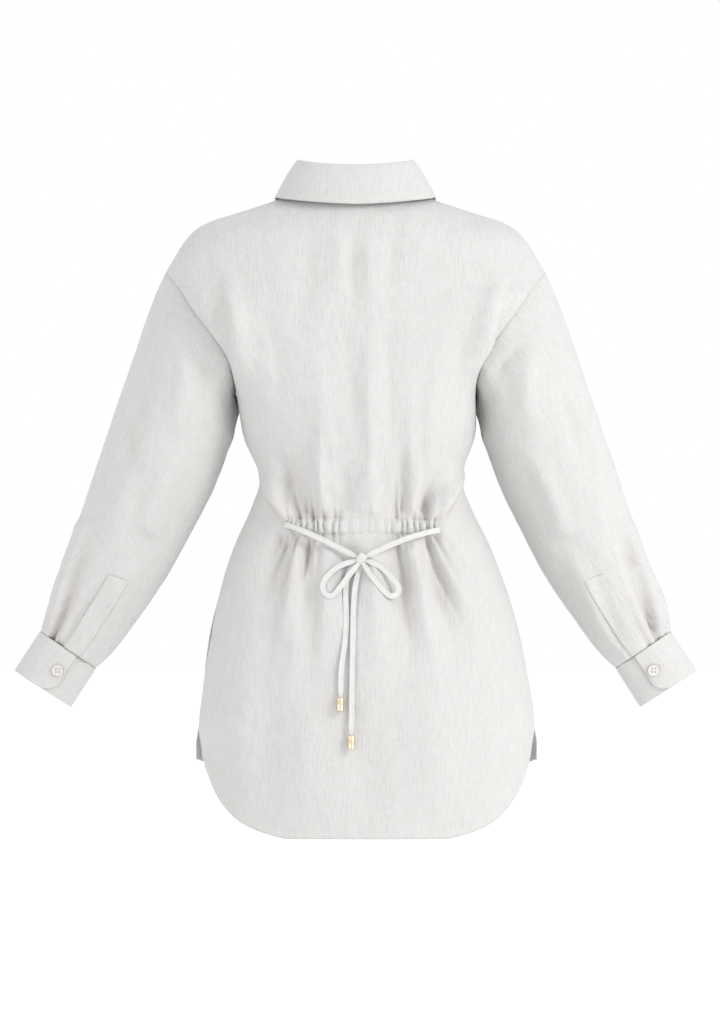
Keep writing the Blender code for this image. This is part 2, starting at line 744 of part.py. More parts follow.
def ring_normals(ring):
    """Outward directions round a flat closed ring, within its own plane."""
    middle = ring.mean(axis=0)
    along = np.roll(ring, -1, axis=0) - np.roll(ring, 1, axis=0)
    plane = unit(np.cross(ring[0] - middle, ring[len(ring) // 4] - middle))
    out = unit(np.cross(along, plane))
    return out * np.sign((out * (ring - middle)).sum(-1, keepdims=True))


def build_stand(neck):
    """The collar stand, sewn to every front neck point and to every second back one."""
    ring, share, across, stations = neck
    behind = range(FRONT_COLUMNS, FRONT_COLUMNS + BACK_COLUMNS, 2)
    picked = [*range(FRONT_COLUMNS), *behind, *range(FRONT_COLUMNS + BACK_COLUMNS, len(ring))]
    ring, share, across, stations = ring[picked], share[picked], across[picked], stations[picked]
    stand_in, stand_up = read(COLLAR, np.abs(stations))[:2]
    top = ring - outward(ring) * stand_in[:, None] + np.array((0, 0, 1.0)) * stand_up[:, None]
    points = np.stack([ring + across * SEAM, (ring + top) / 2, top])
    directions = np.stack([share, outward(ring), outward(ring)])
    wall("collar_stand", points, directions, STIFF)


def build_fall():
    """The collar fall: up from the stand, over the fold and down to its edge and its two front points."""
    meet = 2 - math.asin(COLLAR_MEET / NECK_HALF) / (math.pi / 2)
    left, back, right = np.linspace(meet, 1, 9), np.linspace(1, -1, 21), np.linspace(-1, -meet, 9)
    stations = np.concatenate([left[:-1], back, right[1:]])
    at_front = np.sign(stations) * (2 - np.abs(stations))
    theta = np.where(np.abs(stations) <= 1, stations, at_front) * math.pi / 2
    rows = np.zeros_like(theta)
    neck = np.where((np.abs(stations) <= 1)[:, None], panel(BACK, theta, rows), panel(FRONT, theta, rows))
    out = outward(neck)
    sideways = np.stack([np.sign(stations), np.zeros_like(theta), np.zeros_like(theta)], axis=-1)
    stand_in, stand_up, fold_out, fold_up, edge_out, edge_up, edge_side = read(COLLAR, np.abs(stations))
    profile = (
        (-stand_in, stand_up + SEAM, 0),
        (-stand_in + 0.0004, fold_up - 0.0016, 0),
        (fold_out / 2 - stand_in / 2, fold_up - STIFF / 2, 0),
        (fold_out + 0.0012, fold_up - 0.0036, 0),
        ((fold_out + edge_out) / 2 + 0.001, (fold_up + edge_up) / 2, edge_side * 0.4),
        (edge_out, edge_up, edge_side),
    )
    points = np.stack([
        neck + out * np.broadcast_to(level, theta.shape)[:, None]
        + np.array((0, 0, 1.0)) * np.broadcast_to(up, theta.shape)[:, None]
        + sideways * np.broadcast_to(aside, theta.shape)[:, None]
        for level, up, aside in profile
    ])
    directions = normals_of(points)
    directions = directions * np.sign((directions[-1, len(theta) // 2] * out[len(theta) // 2]).sum())
    directions[0] = -out
    wall("collar_fall", points, directions, STIFF)


def on_back(x, z):
    """Points, outward normals and fold heights of the back at places given by x and z."""
    centre, width = read(CENTRE, z)[0], read(WIDTH, z)[0]
    theta = np.arcsin(np.clip((x - centre) / width, -1, 1))
    rows = row_of(z)
    points = panel(BACK, theta, rows)
    heights = relief(BACK_FOLDS, points[..., 0], points[..., 2]) * fold_fade(theta, rows)
    return points, heights


def build_casing():
    """The strip across the back waist, ruched over the drawstring and open at both ends."""
    columns = RUCHES * 3 + 1
    share = np.linspace(-1, 1, columns)
    share = share + RUCHE_CROWD * np.sin(math.pi * share)
    x = (CASING_LEFT + CASING_RIGHT) / 2 + (CASING_LEFT - CASING_RIGHT) / 2 * share[None, :]
    z = np.linspace(CASING_TOP, CASING_BOTTOM, 4)[:, None]
    points, heights = on_back(*np.broadcast_arrays(x, z))
    normals = normals_of(points)
    wave = 0.5 - 0.5 * np.cos(2 * math.pi * RUCHES * np.linspace(0, 1, columns))[None, :]
    across = np.sin(math.pi * (z - CASING_BOTTOM) / (CASING_TOP - CASING_BOTTOM))
    lift = heights + LAY + CASING_LIFT + RUCHE_HEIGHT * wave * (RUCHE_AT_EDGE + (1 - RUCHE_AT_EDGE) * across)
    wall("casing", points + normals * lift[..., None], normals)


def cuff_section(turn, row, inset):
    """Points and in-plane outward directions round a cuff's section."""
    outer_x, outer_z, inner_x, inner_z, depth, mid_y = row
    cos, sin = np.cos(math.pi * turn), np.sin(math.pi * turn)
    half = math.hypot(outer_x - inner_x, outer_z - inner_z) / 2
    level = np.array(((outer_x - inner_x) / 2 / half, 0, (outer_z - inner_z) / 2 / half))
    out = unit(np.stack([cos / half, sin / depth], axis=-1))
    middle = np.array(((outer_x + inner_x) / 2, mid_y, (outer_z + inner_z) / 2))
    front = np.array((0, 1.0, 0))
    points = middle + half * cos[..., None] * level + depth * sin[..., None] * front
    directions = out[..., :1] * level + out[..., 1:] * front
    return points + directions * inset[..., None], directions


def cuff_inset(turn):
    """The under layer of the lap is set in, then comes out to the top layer's place."""
    return -LAP * (1 - ease((turn - CUFF_LAP_EDGE - CUFF_OUT_FROM) / CUFF_OUT_OVER))


def cuff_point(side, turn, down):
    """A cuff's points and directions: down goes 0 at its seam to 1 at its open edge."""
    start, out = cuff_section(turn, SLEEVE[-1][1:], cuff_inset(turn))
    end, _ = cuff_section(turn, CUFF_END, cuff_inset(turn))
    seam_line = np.array((SLEEVE[-1][3] - SLEEVE[-1][1], 0, SLEEVE[-1][4] - SLEEVE[-1][2]))
    axis = unit(np.cross(seam_line, (0, 1.0, 0)))
    axis = axis * -np.sign(axis[2])
    down = np.broadcast_to(down, turn.shape)[..., None]
    points = start + axis * SEAM * (1 - down) + (end - start) * down
    return points * (side, 1, 1), out * (side, 1, 1)


def build_cuff(side, name):
    """A strip wound a little over one turn, with a rounded corner on its lap end."""
    end = 2 + CUFF_LAP_EDGE
    hidden = np.linspace(CUFF_UNDER, CUFF_LAP_EDGE, 4)[:-1]
    plain = np.linspace(CUFF_LAP_EDGE, CUFF_FINE_FROM, 18)[:-1]
    turns = np.concatenate([hidden, plain, np.linspace(CUFF_FINE_FROM, end, 8)])
    from_edge = np.clip((end - turns) * CUFF_HALF_GIRTH, 0, CUFF_CORNER)
    rounded = CUFF_CORNER - np.sqrt(CUFF_CORNER**2 - (CUFF_CORNER - from_edge) ** 2)
    length = 1 - rounded / CUFF_LENGTH
    rows = np.linspace(0, 1, CUFF_ROWS + 1)[:, None] * length[None, :]
    points, directions = cuff_point(side, np.broadcast_to(turns, rows.shape), rows)
    wall(name, points, directions, STIFF)


def build_placket(side, name):
    """The band that lies on the sleeve beside its opening."""
    downs = np.linspace(PLACKET_FROM, PLACKET_TO, 9)[:, None]
    share = (downs - PLACKET_FROM) / (1 - PLACKET_FROM)
    low, high = np.array(PLACKET_LOW), np.array(PLACKET_HIGH)
    ends = high + (low - high) * share
    turns = ends[:, :1] + (ends[:, 1:] - ends[:, :1]) * np.linspace(0, 1, 5)[None, :]
    points, normals, heights = sleeve_patch(side, turns, np.broadcast_to(downs, turns.shape))
    wall(name, points + normals * (heights + LAY + SLEEVE_PLACKET_LIFT)[..., None], normals)


def sleeve_patch(side, turns, downs):
    """Points, outward normals and fold heights of a patch of a sleeve."""
    points = sleeve(side, turns, downs)
    normals = normals_of(points)
    out = points - sleeve(side, turns + 1, downs)
    normals = normals * np.sign((normals * out).sum(-1, keepdims=True))
    heights = relief(SLEEVE_BACK_FOLDS, points[..., 0] * side, points[..., 2])
    return points, normals, heights


def build_front_placket(front_rows):
    """The band down the right front's edge, on the outside, and the middle line that its buttons sit on."""
    rows = np.clip(front_rows, *FRONT_PLACKET_ROWS)
    theta = np.arcsin(np.linspace(-FRONT_LAP, FRONT_LAP, 4)[None, :] / half_width(FRONT, rows))
    points = panel(FRONT, theta, rows)
    normals = unit(normals_of(points))
    normals = normals * -np.sign(normals[..., 1:2])
    heights = relief(FRONT_FOLDS, points[..., 0], points[..., 2]) * fold_fade(theta, rows)
    points = points + normals * (heights + LAY + PLACKET_LIFT)[..., None]
    wall("front_placket", points, normals)
    return (points + normals * CLOTH / 2)[:, 1:3].mean(axis=1)


def add_button(name, centre, normal, radius):
    """A plain round button that faces along the normal."""
    made = bmesh.new()
    bmesh.ops.create_cone(
        made, cap_ends=True, segments=14, radius1=radius, radius2=radius * 0.94, depth=BUTTON_THICK
    )
    mesh = bpy.data.meshes.new(name)
    made.to_mesh(mesh)
    made.free()
    obj = add_object(name, mesh, PEARL, 0.35)
    obj.location = centre
    obj.rotation_mode = "QUATERNION"
    obj.rotation_quaternion = Vector(normal).to_track_quat("Z", "Y")
    return obj


def build_front_buttons(line):
    """Buttons down the middle line of the front placket, each flat on the stretch that it is sewn to."""
    for number in range(FRONT_BUTTONS):
        z = FRONT_BUTTON_FIRST - FRONT_BUTTON_STEP * number
        below = int(np.argmax(line[:, 2] < z))
        upper, lower = line[below - 1], line[below]
        seat = upper + (lower - upper) * (upper[2] - z) / (upper[2] - lower[2])
        normal = unit(np.cross(lower - upper, (1.0, 0, 0)))
        normal = normal * -np.sign(normal[1])
        centre = seat + normal * (SEAM + BUTTON_THICK / 2)
        add_button(f"front_button_{number + 1}", centre, normal, FRONT_BUTTON)


def build_collar_button():
    """The button on the collar stand's right end."""
    stand_in, stand_up = read(COLLAR, 2.0)[:2]
    base = panel(FRONT, np.array(0.0), np.array(0.0))
    normal = unit(np.array((0, -stand_up, stand_in)))
    seat = base + np.array((0, stand_in / 2, stand_up / 2))
    centre = seat + normal * ((STIFF + BUTTON_THICK) / 2 + SEAM)
    add_button("collar_button", centre, normal, FRONT_BUTTON)


def build_cuff_button(side, name):
    """The button on the cuff's lap, towards the back."""
    turn = np.array(2 + CUFF_LAP_EDGE - CUFF_BUTTON_IN)
    points, out = cuff_point(side, turn, CUFF_BUTTON_DOWN)
    up, _ = cuff_point(side, turn, 0)
    lean = unit(points - up)
    normal = unit(out - lean * (out * lean).sum())
    add_button(name, points + normal * (STIFF + BUTTON_THICK) / 2, normal, CUFF_BUTTON)


def smooth_route(points, spacing):
    """Points along a smooth curve through a route's own points."""
    route = np.array(points, float)
    padded = np.concatenate([[2 * route[0] - route[1]], route, [2 * route[-1] - route[-2]]])
    found = []
    for before, start, end, after in zip(padded, padded[1:], padded[2:], padded[3:]):
        count = max(1, round(float(np.linalg.norm(end - start)) / spacing))
        for t in np.arange(count) / count:
            bend = (2 * before - 5 * start + 4 * end - after) * t**2
            twist = (3 * start - before - 3 * end + after) * t**3
            found.append((2 * start + (end - before) * t + bend + twist) / 2)
    return np.array([*found, route[-1]])


def build_strap(name, route):
    """A flat strap along a route, with its flat side towards the shirt."""
    line = smooth_route(route, 2 * STRAP_WIDTH)
    along = unit(np.gradient(line, axis=0))
    flat = unit(np.cross(along, (0, 1.0, 0)))
    out = unit(np.cross(flat, along))
    columns = line[:, None] + flat[:, None] * np.array((-0.5, 0.5))[None, :, None] * STRAP_WIDTH
    wall(name, columns, np.broadcast_to(out[:, None], columns.shape), STRAP_THICK)


def build_knot():
    made = bmesh.new()
    bmesh.ops.create_uvsphere(made, u_segments=12, v_segments=8, radius=1)
    bmesh.ops.scale(made, vec=KNOT_HALF, verts=made.verts)
    mesh = bpy.data.meshes.new("knot")
    made.to_mesh(mesh)
    made.free()
    mesh.shade_smooth()
    add_object("knot", mesh, LINEN, 0.9).location = KNOT


def build_tip(name, route):
    """The metal tip that closes a tail."""
    end, before = np.array(route[-1]), np.array(route[-2])
    way = unit(end - before)
    made = bmesh.new()
    bmesh.ops.create_cone(
        made, cap_ends=True, segments=14, radius1=TIP_RADIUS, radius2=TIP_RADIUS, depth=TIP_LENGTH
    )
    mesh = bpy.data.meshes.new(name)
    made.to_mesh(mesh)
    made.free()
    obj = add_object(name, mesh, METAL, 0.3, 1.0)
    obj.location = end + way * (SEAM + TIP_LENGTH / 2)
    obj.rotation_mode = "QUATERNION"
    obj.rotation_quaternion = Vector(way).to_track_quat("Z", "Y")


def build_string():
    """The drawstring, from its casing to its tips."""
    build_strap("string_left", STRING_LEFT)
    build_strap("string_right", STRING_RIGHT)
    build_strap("loop_left", LOOP_LEFT)
    build_strap("loop_right", LOOP_RIGHT)
    build_strap("tail_left", TAIL_LEFT)
    build_strap("tail_right", TAIL_RIGHT)
    build_knot()
    build_tip("tip_left", TAIL_LEFT)
    build_tip("tip_right", TAIL_RIGHT)


def main():
    turns = np.arange(2 * ARM_ROWS)[None, :] / ARM_ROWS
    downs = np.linspace(0, 1, SLEEVE_ROWS + 1)[:, None]
    back_rows = make_rows(TORSO_Z, HEM_ROWS)
    front_rows = make_rows(FRONT_TORSO_Z, FRONT_HEM_ROWS)
    across = np.linspace(-1, 1, BACK_COLUMNS + 1)[None, :]
    columns = np.linspace(0, 1, FRONT_COLUMNS + 1)[None, :]
    grids = {
        "back": back_base(across, back_rows),
        "front_left": front_base(LEFT, columns, front_rows),
        "front_right": front_base(RIGHT, columns, front_rows),
        LEFT: sleeve_base(LEFT, turns, downs),
        RIGHT: sleeve_base(RIGHT, turns, downs),
    }
    seams = {side: armhole_seam(side, grids) for side in (LEFT, RIGHT)}
    neck = neck_seam(grids)
    build_body(grids, seams, neck)
    build_sleeves(grids, seams)
    build_stand(neck)
    build_fall()
    build_casing()
    build_front_buttons(build_front_placket(front_rows))
    build_collar_button()
    for side, name in ((LEFT, "left"), (RIGHT, "right")):
        build_cuff(side, f"cuff_{name}")
        build_placket(side, f"sleeve_placket_{name}")
        build_cuff_button(side, f"cuff_button_{name}")
    build_string()


for old in list(bpy.data.objects):
    bpy.data.objects.remove(old)
PARTS = bpy.data.collections.new("linen_shirt")
bpy.context.scene.collection.children.link(PARTS)
main()
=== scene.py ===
"""The looks of the linen tunic shirt: its cloth, sewing, buttons and tied drawstring.

Metres, +Z up. The front faces -Y, the wearer's left is +X, and the origin is the middle of the neck base.
The cloth follows the same tables and formulas as the solids, on finer grids that also hold the small folds.
"""

import math

import bpy
import numpy as np
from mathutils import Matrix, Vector


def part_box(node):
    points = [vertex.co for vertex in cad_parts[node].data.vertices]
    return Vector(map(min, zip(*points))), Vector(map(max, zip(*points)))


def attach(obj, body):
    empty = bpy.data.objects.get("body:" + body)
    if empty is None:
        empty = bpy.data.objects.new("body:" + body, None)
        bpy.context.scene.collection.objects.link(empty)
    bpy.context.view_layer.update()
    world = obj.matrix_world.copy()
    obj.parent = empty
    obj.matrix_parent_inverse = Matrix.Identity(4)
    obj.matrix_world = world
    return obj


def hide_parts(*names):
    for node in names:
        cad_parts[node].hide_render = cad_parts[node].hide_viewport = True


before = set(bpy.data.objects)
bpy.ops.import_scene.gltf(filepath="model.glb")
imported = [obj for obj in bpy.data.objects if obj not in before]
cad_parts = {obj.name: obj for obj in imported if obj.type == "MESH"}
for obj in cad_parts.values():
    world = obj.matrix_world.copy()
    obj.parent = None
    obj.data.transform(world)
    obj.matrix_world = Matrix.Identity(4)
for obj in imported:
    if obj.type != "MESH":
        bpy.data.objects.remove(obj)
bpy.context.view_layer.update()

# Cloth and seams
SEAM = 0.0003  # gap between pieces that are sewn together
SHARPEST = 0.71  # cosine of half the sharpest corner that keeps its full thickness
SLEEVE_STEEP = 0.6  # fall of a sleeve beside its reach out, where it leaves the armhole
LAP = 0.0030  # how far the under layer of a cuff's lap is set in

# Heights and half widths
UNDERARM_Z = -0.243
SLIT_Z = -0.661
NECK_HALF = 0.074
SHOULDER_HALF = 0.236

# Shoulder seam, from the neck to the armhole
SHOULDER = (
    # x, z
    (0.074, 0.009),
    (0.086, 0.001),
    (0.100, -0.0055),
    (0.118, -0.0115),
    (0.136, -0.0175),
    (0.160, -0.025),
    (0.177, -0.030),
    (0.190, -0.036),
    (0.201, -0.043),
    (0.212, -0.055),
    (0.221, -0.068),
    (0.228, -0.080),
    (0.236, -0.094),
)

# Armhole seam, from the shoulder to the underarm
ARMHOLE = (
    # share of the way, x, z, reach to the back, reach to the front
    (0.00, 0.236, -0.094, 0.000, 0.000),
    (0.15, 0.222, -0.111, 0.033, 0.030),
    (0.30, 0.203, -0.141, 0.056, 0.051),
    (0.50, 0.177, -0.176, 0.070, 0.064),
    (0.70, 0.158, -0.206, 0.068, 0.062),
    (0.85, 0.151, -0.230, 0.045, 0.041),
    (1.00, 0.149, -0.243, 0.000, 0.000),
)

# Half width of the torso from side seam to side seam, then of each panel below the slits
WIDTH = (
    # z, back, front
    (-0.243, 0.149, 0.149),
    (-0.268, 0.1475, 0.1475),
    (-0.292, 0.1455, 0.1455),
    (-0.305, 0.1425, 0.1425),
    (-0.330, 0.132, 0.132),
    (-0.342, 0.127, 0.127),
    (-0.355, 0.125, 0.125),
    (-0.380, 0.133, 0.133),
    (-0.405, 0.144, 0.144),
    (-0.430, 0.156, 0.156),
    (-0.455, 0.166, 0.166),
    (-0.505, 0.182, 0.182),
    (-0.555, 0.193, 0.193),
    (-0.605, 0.2025, 0.2025),
    (-0.661, 0.209, 0.209),
    (-0.686, 0.206, 0.2125),
    (-0.700, 0.204, 0.2125),
)

# How far the shirt leans to one side as it hangs
CENTRE = (
    # z, x
    (-0.243, 0.0),
    (-0.292, -0.0044),
    (-0.355, -0.0063),
    (-0.455, -0.0088),
    (-0.505, -0.0106),
    (-0.630, -0.0138),
    (-0.800, -0.0140),
)

# Profile at the centre back and the centre front
PROFILE = (
    # z, back, front
    (0.004, 0.064, 0.064),
    (-0.020, 0.077, 0.067),
    (-0.050, 0.090, 0.075),
    (-0.080, 0.099, 0.091),
    (-0.120, 0.108, 0.108),
    (-0.178, 0.115, 0.121),
    (-0.240, 0.114, 0.126),
    (-0.292, 0.108, 0.123),
    (-0.355, 0.095, 0.106),
    (-0.402, 0.092, 0.101),
    (-0.431, 0.093, 0.101),
    (-0.480, 0.104, 0.107),
    (-0.560, 0.121, 0.116),
    (-0.640, 0.129, 0.121),
    (-0.800, 0.133, 0.123),
)

# How far a row drops from its side end to its middle
DROP = (
    # row, back, front
    (0.0, 0.005, 0.059),
    (0.5, 0.022, 0.050),
    (1.0, 0.026, 0.038),
    (1.5, 0.012, 0.016),
    (2.0, 0.0, 0.0),
)

# How square a section is: 1 is an ellipse, and less is squarer
SQUARE = (
    # row, power
    (0.00, 0.80),
    (1.50, 0.80),
    (1.70, 0.75),
    (1.85, 0.61),
    (2.00, 0.45),
    (2.12, 0.60),
    (2.30, 0.80),
)

# Back hem, from the centre to the slit
BACK_HEM = (
    # distance from the centre, z
    (0.000, -0.800),
    (0.094, -0.800),
    (0.130, -0.792),
    (0.156, -0.780),
    (0.171, -0.767),
    (0.181, -0.755),
    (0.189, -0.742),
    (0.194, -0.730),
    (0.199, -0.717),
    (0.204, -0.700),
)
BACK_HEM_HALF = 0.204
FRONT_HEM_Z = -0.738
FRONT_CORNER_Z = -0.704

# Share of the back's width that the drawstring draws in, by height
GATHER = (
    # z, share
    (-0.250, 0.0),
    (-0.330, 0.35),
    (-0.392, 1.0),
    (-0.436, 1.0),
    (-0.500, 0.35),
    (-0.600, 0.0),
)
GATHER_SHIFT = 0.19
GATHER_POWER = 1.4

# Sleeve sections, from the armhole to the cuff
SLEEVE = (
    # share of the way, outer x, outer z, inner x, inner z, half depth, middle y
    (0.000, 0.236, -0.094, 0.149, -0.243, 0.068, 0.003),
    (0.080, 0.252, -0.130, 0.153, -0.253, 0.071, 0.001),
    (0.165, 0.266, -0.167, 0.156, -0.268, 0.072, -0.001),
    (0.265, 0.281, -0.213, 0.155, -0.296, 0.070, -0.003),
    (0.380, 0.299, -0.265, 0.163, -0.322, 0.067, -0.006),
    (0.490, 0.316, -0.314, 0.178, -0.362, 0.063, -0.011),
    (0.600, 0.333, -0.364, 0.200, -0.406, 0.059, -0.018),
    (0.710, 0.350, -0.414, 0.225, -0.454, 0.054, -0.026),
    (0.815, 0.366, -0.461, 0.252, -0.498, 0.049, -0.034),
    (0.907, 0.381, -0.502, 0.282, -0.541, 0.043, -0.042),
    (0.966, 0.390, -0.529, 0.306, -0.571, 0.036, -0.047),
    (1.000, 0.3945, -0.5445, 0.326, -0.590, 0.030, -0.050),
)
SLEEVE_LEAN = 0.004  # the inner edges follow the torso's lean
ARMHOLE_BLEND = 0.3  # share of the sleeve over which the armhole's shape turns into a plain tube
SLEEVE_FOLDS_FROM = 0.12  # share of the sleeve over which its folds start below the armhole

# Cuff
CUFF_END = (0.4275, -0.594, 0.3575, -0.639, 0.031, -0.060)
CUFF_UNDER = 0.40  # where the under layer starts, in half turns from the outer edge over the back
CUFF_LAP_EDGE = 0.61
CUFF_CORNER = 0.020
CUFF_LENGTH = 0.060
CUFF_HALF_GIRTH = 0.115
CUFF_BUTTON_IN = 0.085  # half turns from the lap's edge to the button's middle
CUFF_BUTTON_DOWN = 0.48
CUFF_OUT_FROM, CUFF_OUT_OVER = 0.04, 0.25  # half turns past the lap's edge where the under layer comes out

# Collar, by station: 0 centre back, 1 side, 2 centre front; all from the neck seam
COLLAR = (
    # station, stand in, stand up, fold out, fold up, edge out, edge up, edge sideways
    (0.0, 0.004, 0.033, -0.0010, 0.037, 0.020, -0.013, 0.000),
    (1.0, 0.004, 0.033, -0.0010, 0.037, 0.026, -0.0105, 0.000),
    (1.4, 0.004, 0.031, -0.0010, 0.035, 0.027, -0.010, 0.004),
    (1.7, 0.003, 0.028, -0.0005, 0.032, 0.028, -0.020, 0.018),
    (2.0, 0.003, 0.026, 0.0000, 0.030, 0.030, -0.032, 0.040),
)
COLLAR_MEET = 0.002  # half of the gap between the two leaves at the centre front

# Front closing
FRONT_LAP = 0.015
LAP_FULL = 0.022
LAP_GONE = 0.055
FRONT_PLACKET_ROWS = (0.06, 3.97)  # it stops just short of the collar and the hem

# Casing across the back waist
CASING_TOP = -0.401
CASING_BOTTOM = -0.4235  # the solid's reaches 7.5 mm lower
CASING_LEFT = 0.084
CASING_RIGHT = -0.1025
CASING_MIDDLE, CASING_HALF = (CASING_LEFT + CASING_RIGHT) / 2, (CASING_LEFT - CASING_RIGHT) / 2
RUCHES = 23

# Buttons
BUTTON_THICK = 0.0026
FRONT_BUTTON = 0.0060
CUFF_BUTTON = 0.0075
FRONT_BUTTONS = 7

# Drawstring
STRAP_WIDTH = 0.007
TIP_RADIUS = 0.0045
TIP_LENGTH = 0.017

# Large folds of the back: ridges, and troughs where the height is negative
BACK_FOLDS = (
    # x1, z1, x2, z2, bow, height, reach
    (0.163, -0.075, 0.136, -0.250, 0.004, 0.009, 0.012),
    (0.184, -0.100, 0.160, -0.225, 0.004, -0.004, 0.011),
    (-0.186, -0.075, -0.146, -0.250, -0.004, 0.009, 0.012),
    (-0.196, -0.125, -0.172, -0.225, -0.004, -0.004, 0.011),
    (0.112, -0.315, 0.077, -0.408, -0.004, 0.009, 0.012),
    (0.087, -0.318, 0.063, -0.402, 0.0, -0.006, 0.009),
    (0.052, -0.300, 0.036, -0.402, 0.0, 0.006, 0.011),
    (0.019, -0.320, 0.012, -0.400, 0.0, -0.004, 0.010),
    (-0.012, -0.310, -0.018, -0.402, 0.0, 0.005, 0.012),
    (-0.034, -0.325, -0.038, -0.400, 0.0, -0.004, 0.009),
    (-0.060, -0.295, -0.057, -0.402, 0.0, -0.006, 0.009),
    (-0.079, -0.310, -0.071, -0.402, 0.0, 0.006, 0.009),
    (-0.096, -0.330, -0.084, -0.400, 0.0, -0.005, 0.008),
    (-0.128, -0.318, -0.095, -0.408, 0.004, 0.009, 0.012),
    (0.084, -0.424, 0.122, -0.520, 0.0, -0.007, 0.011),
    (0.070, -0.424, 0.104, -0.580, 0.004, 0.008, 0.013),
    (0.054, -0.426, 0.070, -0.560, 0.0, -0.006, 0.011),
    (0.034, -0.426, 0.044, -0.620, 0.0, 0.006, 0.015),
    (0.008, -0.428, 0.008, -0.540, 0.0, -0.004, 0.013),
    (-0.022, -0.426, -0.030, -0.620, 0.0, 0.006, 0.016),
    (-0.050, -0.426, -0.062, -0.560, 0.0, -0.006, 0.012),
    (-0.064, -0.426, -0.098, -0.600, -0.003, 0.008, 0.013),
    (-0.082, -0.424, -0.140, -0.565, -0.003, -0.008, 0.012),
    (-0.098, -0.424, -0.160, -0.540, -0.004, 0.006, 0.013),
    (0.060, -0.560, 0.066, -0.810, 0.0, 0.006, 0.026),
    (-0.090, -0.560, -0.110, -0.810, 0.0, 0.007, 0.028),
    (-0.015, -0.600, -0.012, -0.830, 0.0, -0.005, 0.026),
    (0.130, -0.500, 0.150, -0.780, 0.0, 0.006, 0.022),
)

# Large folds of the front, which hangs loose from the bust
FRONT_FOLDS = (
    # x1, z1, x2, z2, bow, height, reach
    (0.150, -0.085, 0.118, -0.250, 0.004, 0.006, 0.014),
    (-0.150, -0.085, -0.122, -0.245, -0.004, 0.006, 0.014),
    (0.085, -0.230, 0.070, -0.470, 0.006, 0.007, 0.016),
    (-0.092, -0.240, -0.078, -0.480, -0.006, 0.007, 0.016),
    (0.112, -0.330, 0.130, -0.620, 0.004, -0.006, 0.018),
    (-0.116, -0.330, -0.140, -0.620, -0.004, -0.006, 0.018),
    (0.060, -0.450, 0.078, -0.760, 0.0, 0.007, 0.022),
    (-0.070, -0.450, -0.092, -0.760, 0.0, 0.007, 0.022),
)

# Large folds of a sleeve's back and front, for the wearer's left; the right one mirrors them
SLEEVE_BACK_FOLDS = (
    # x1, z1, x2, z2, bow, height, reach
    (0.214, -0.165, 0.228, -0.330, 0.006, 0.006, 0.014),
    (0.246, -0.190, 0.300, -0.380, -0.005, -0.005, 0.014),
    (0.205, -0.300, 0.262, -0.430, -0.006, 0.005, 0.013),
    (0.318, -0.385, 0.372, -0.552, -0.006, -0.007, 0.010),
    (0.334, -0.400, 0.384, -0.560, -0.004, 0.006, 0.010),
    (0.262, -0.440, 0.322, -0.566, -0.004, 0.005, 0.012),
    (0.292, -0.480, 0.345, -0.585, -0.002, -0.003, 0.010),
)
SLEEVE_FRONT_FOLDS = (
    # x1, z1, x2, z2, bow, height, reach
    (0.205, -0.180, 0.216, -0.320, 0.008, 0.006, 0.014),
    (0.240, -0.250, 0.292, -0.400, -0.006, -0.006, 0.014),
    (0.222, -0.350, 0.300, -0.480, -0.005, 0.006, 0.014),
    (0.300, -0.420, 0.360, -0.575, -0.004, -0.006, 0.011),
    (0.330, -0.440, 0.380, -0.570, -0.004, 0.005, 0.010),
)

# The drawstring's route, stretch by stretch
STRING_LEFT = (
    (0.0872, 0.0833, -0.4105),
    (0.0720, 0.0903, -0.4155),
    (0.0520, 0.0961, -0.4240),
    (0.0300, 0.1003, -0.4345),
    (-0.0006, 0.1040, -0.4500),
)
STRING_RIGHT = (
    (-0.1048, 0.0826, -0.4170),
    (-0.0880, 0.0898, -0.4205),
    (-0.0660, 0.0958, -0.4270),
    (-0.0430, 0.1000, -0.4360),
    (-0.0134, 0.1040, -0.4500),
)
LOOP_LEFT = (
    (-0.0004, 0.1063, -0.4552),
    (0.0180, 0.1078, -0.4610),
    (0.0340, 0.1093, -0.4730),
    (0.0405, 0.1110, -0.4860),
    (0.0370, 0.1133, -0.4960),
    (0.0290, 0.1138, -0.4985),
    (0.0190, 0.1138, -0.4880),
    (0.0070, 0.1128, -0.4720),
    (-0.0020, 0.1092, -0.4610),
)
LOOP_RIGHT = (
    (-0.0138, 0.1063, -0.4552),
    (-0.0300, 0.1084, -0.4620),
    (-0.0440, 0.1099, -0.4750),
    (-0.0530, 0.1104, -0.4870),
    (-0.0520, 0.1109, -0.4960),
    (-0.0430, 0.1124, -0.4985),
    (-0.0320, 0.1137, -0.4890),
    (-0.0200, 0.1129, -0.4740),
    (-0.0115, 0.1090, -0.4612),
)
TAIL_LEFT = (
    (-0.0005, 0.1034, -0.4588),
    (0.0095, 0.1053, -0.4725),
    (0.0122, 0.1088, -0.4950),
    (0.0112, 0.1160, -0.5280),
    (0.0135, 0.1231, -0.5600),
    (0.0175, 0.1286, -0.5900),
    (0.0185, 0.1333, -0.6245),
)
TAIL_RIGHT = (
    (-0.0070, 0.1030, -0.4612),
    (-0.0010, 0.1077, -0.4800),
    (0.0020, 0.1127, -0.5050),
    (0.0028, 0.1199, -0.5350),
    (0.0035, 0.1269, -0.5750),
    (0.0045, 0.1319, -0.6250),
    (0.0050, 0.1356, -0.6715),
)
KNOT = (-0.0070, 0.1050, -0.4530)
KNOT_HALF = (0.0062, 0.0050, 0.0075)

# Where folds die out
ARM_FADE = 0.16  # share of a panel's half width
ARM_FADE_ROWS = (0.7, 1.0, 2.1, 2.3)
NECK_FADE_ROWS = 0.4

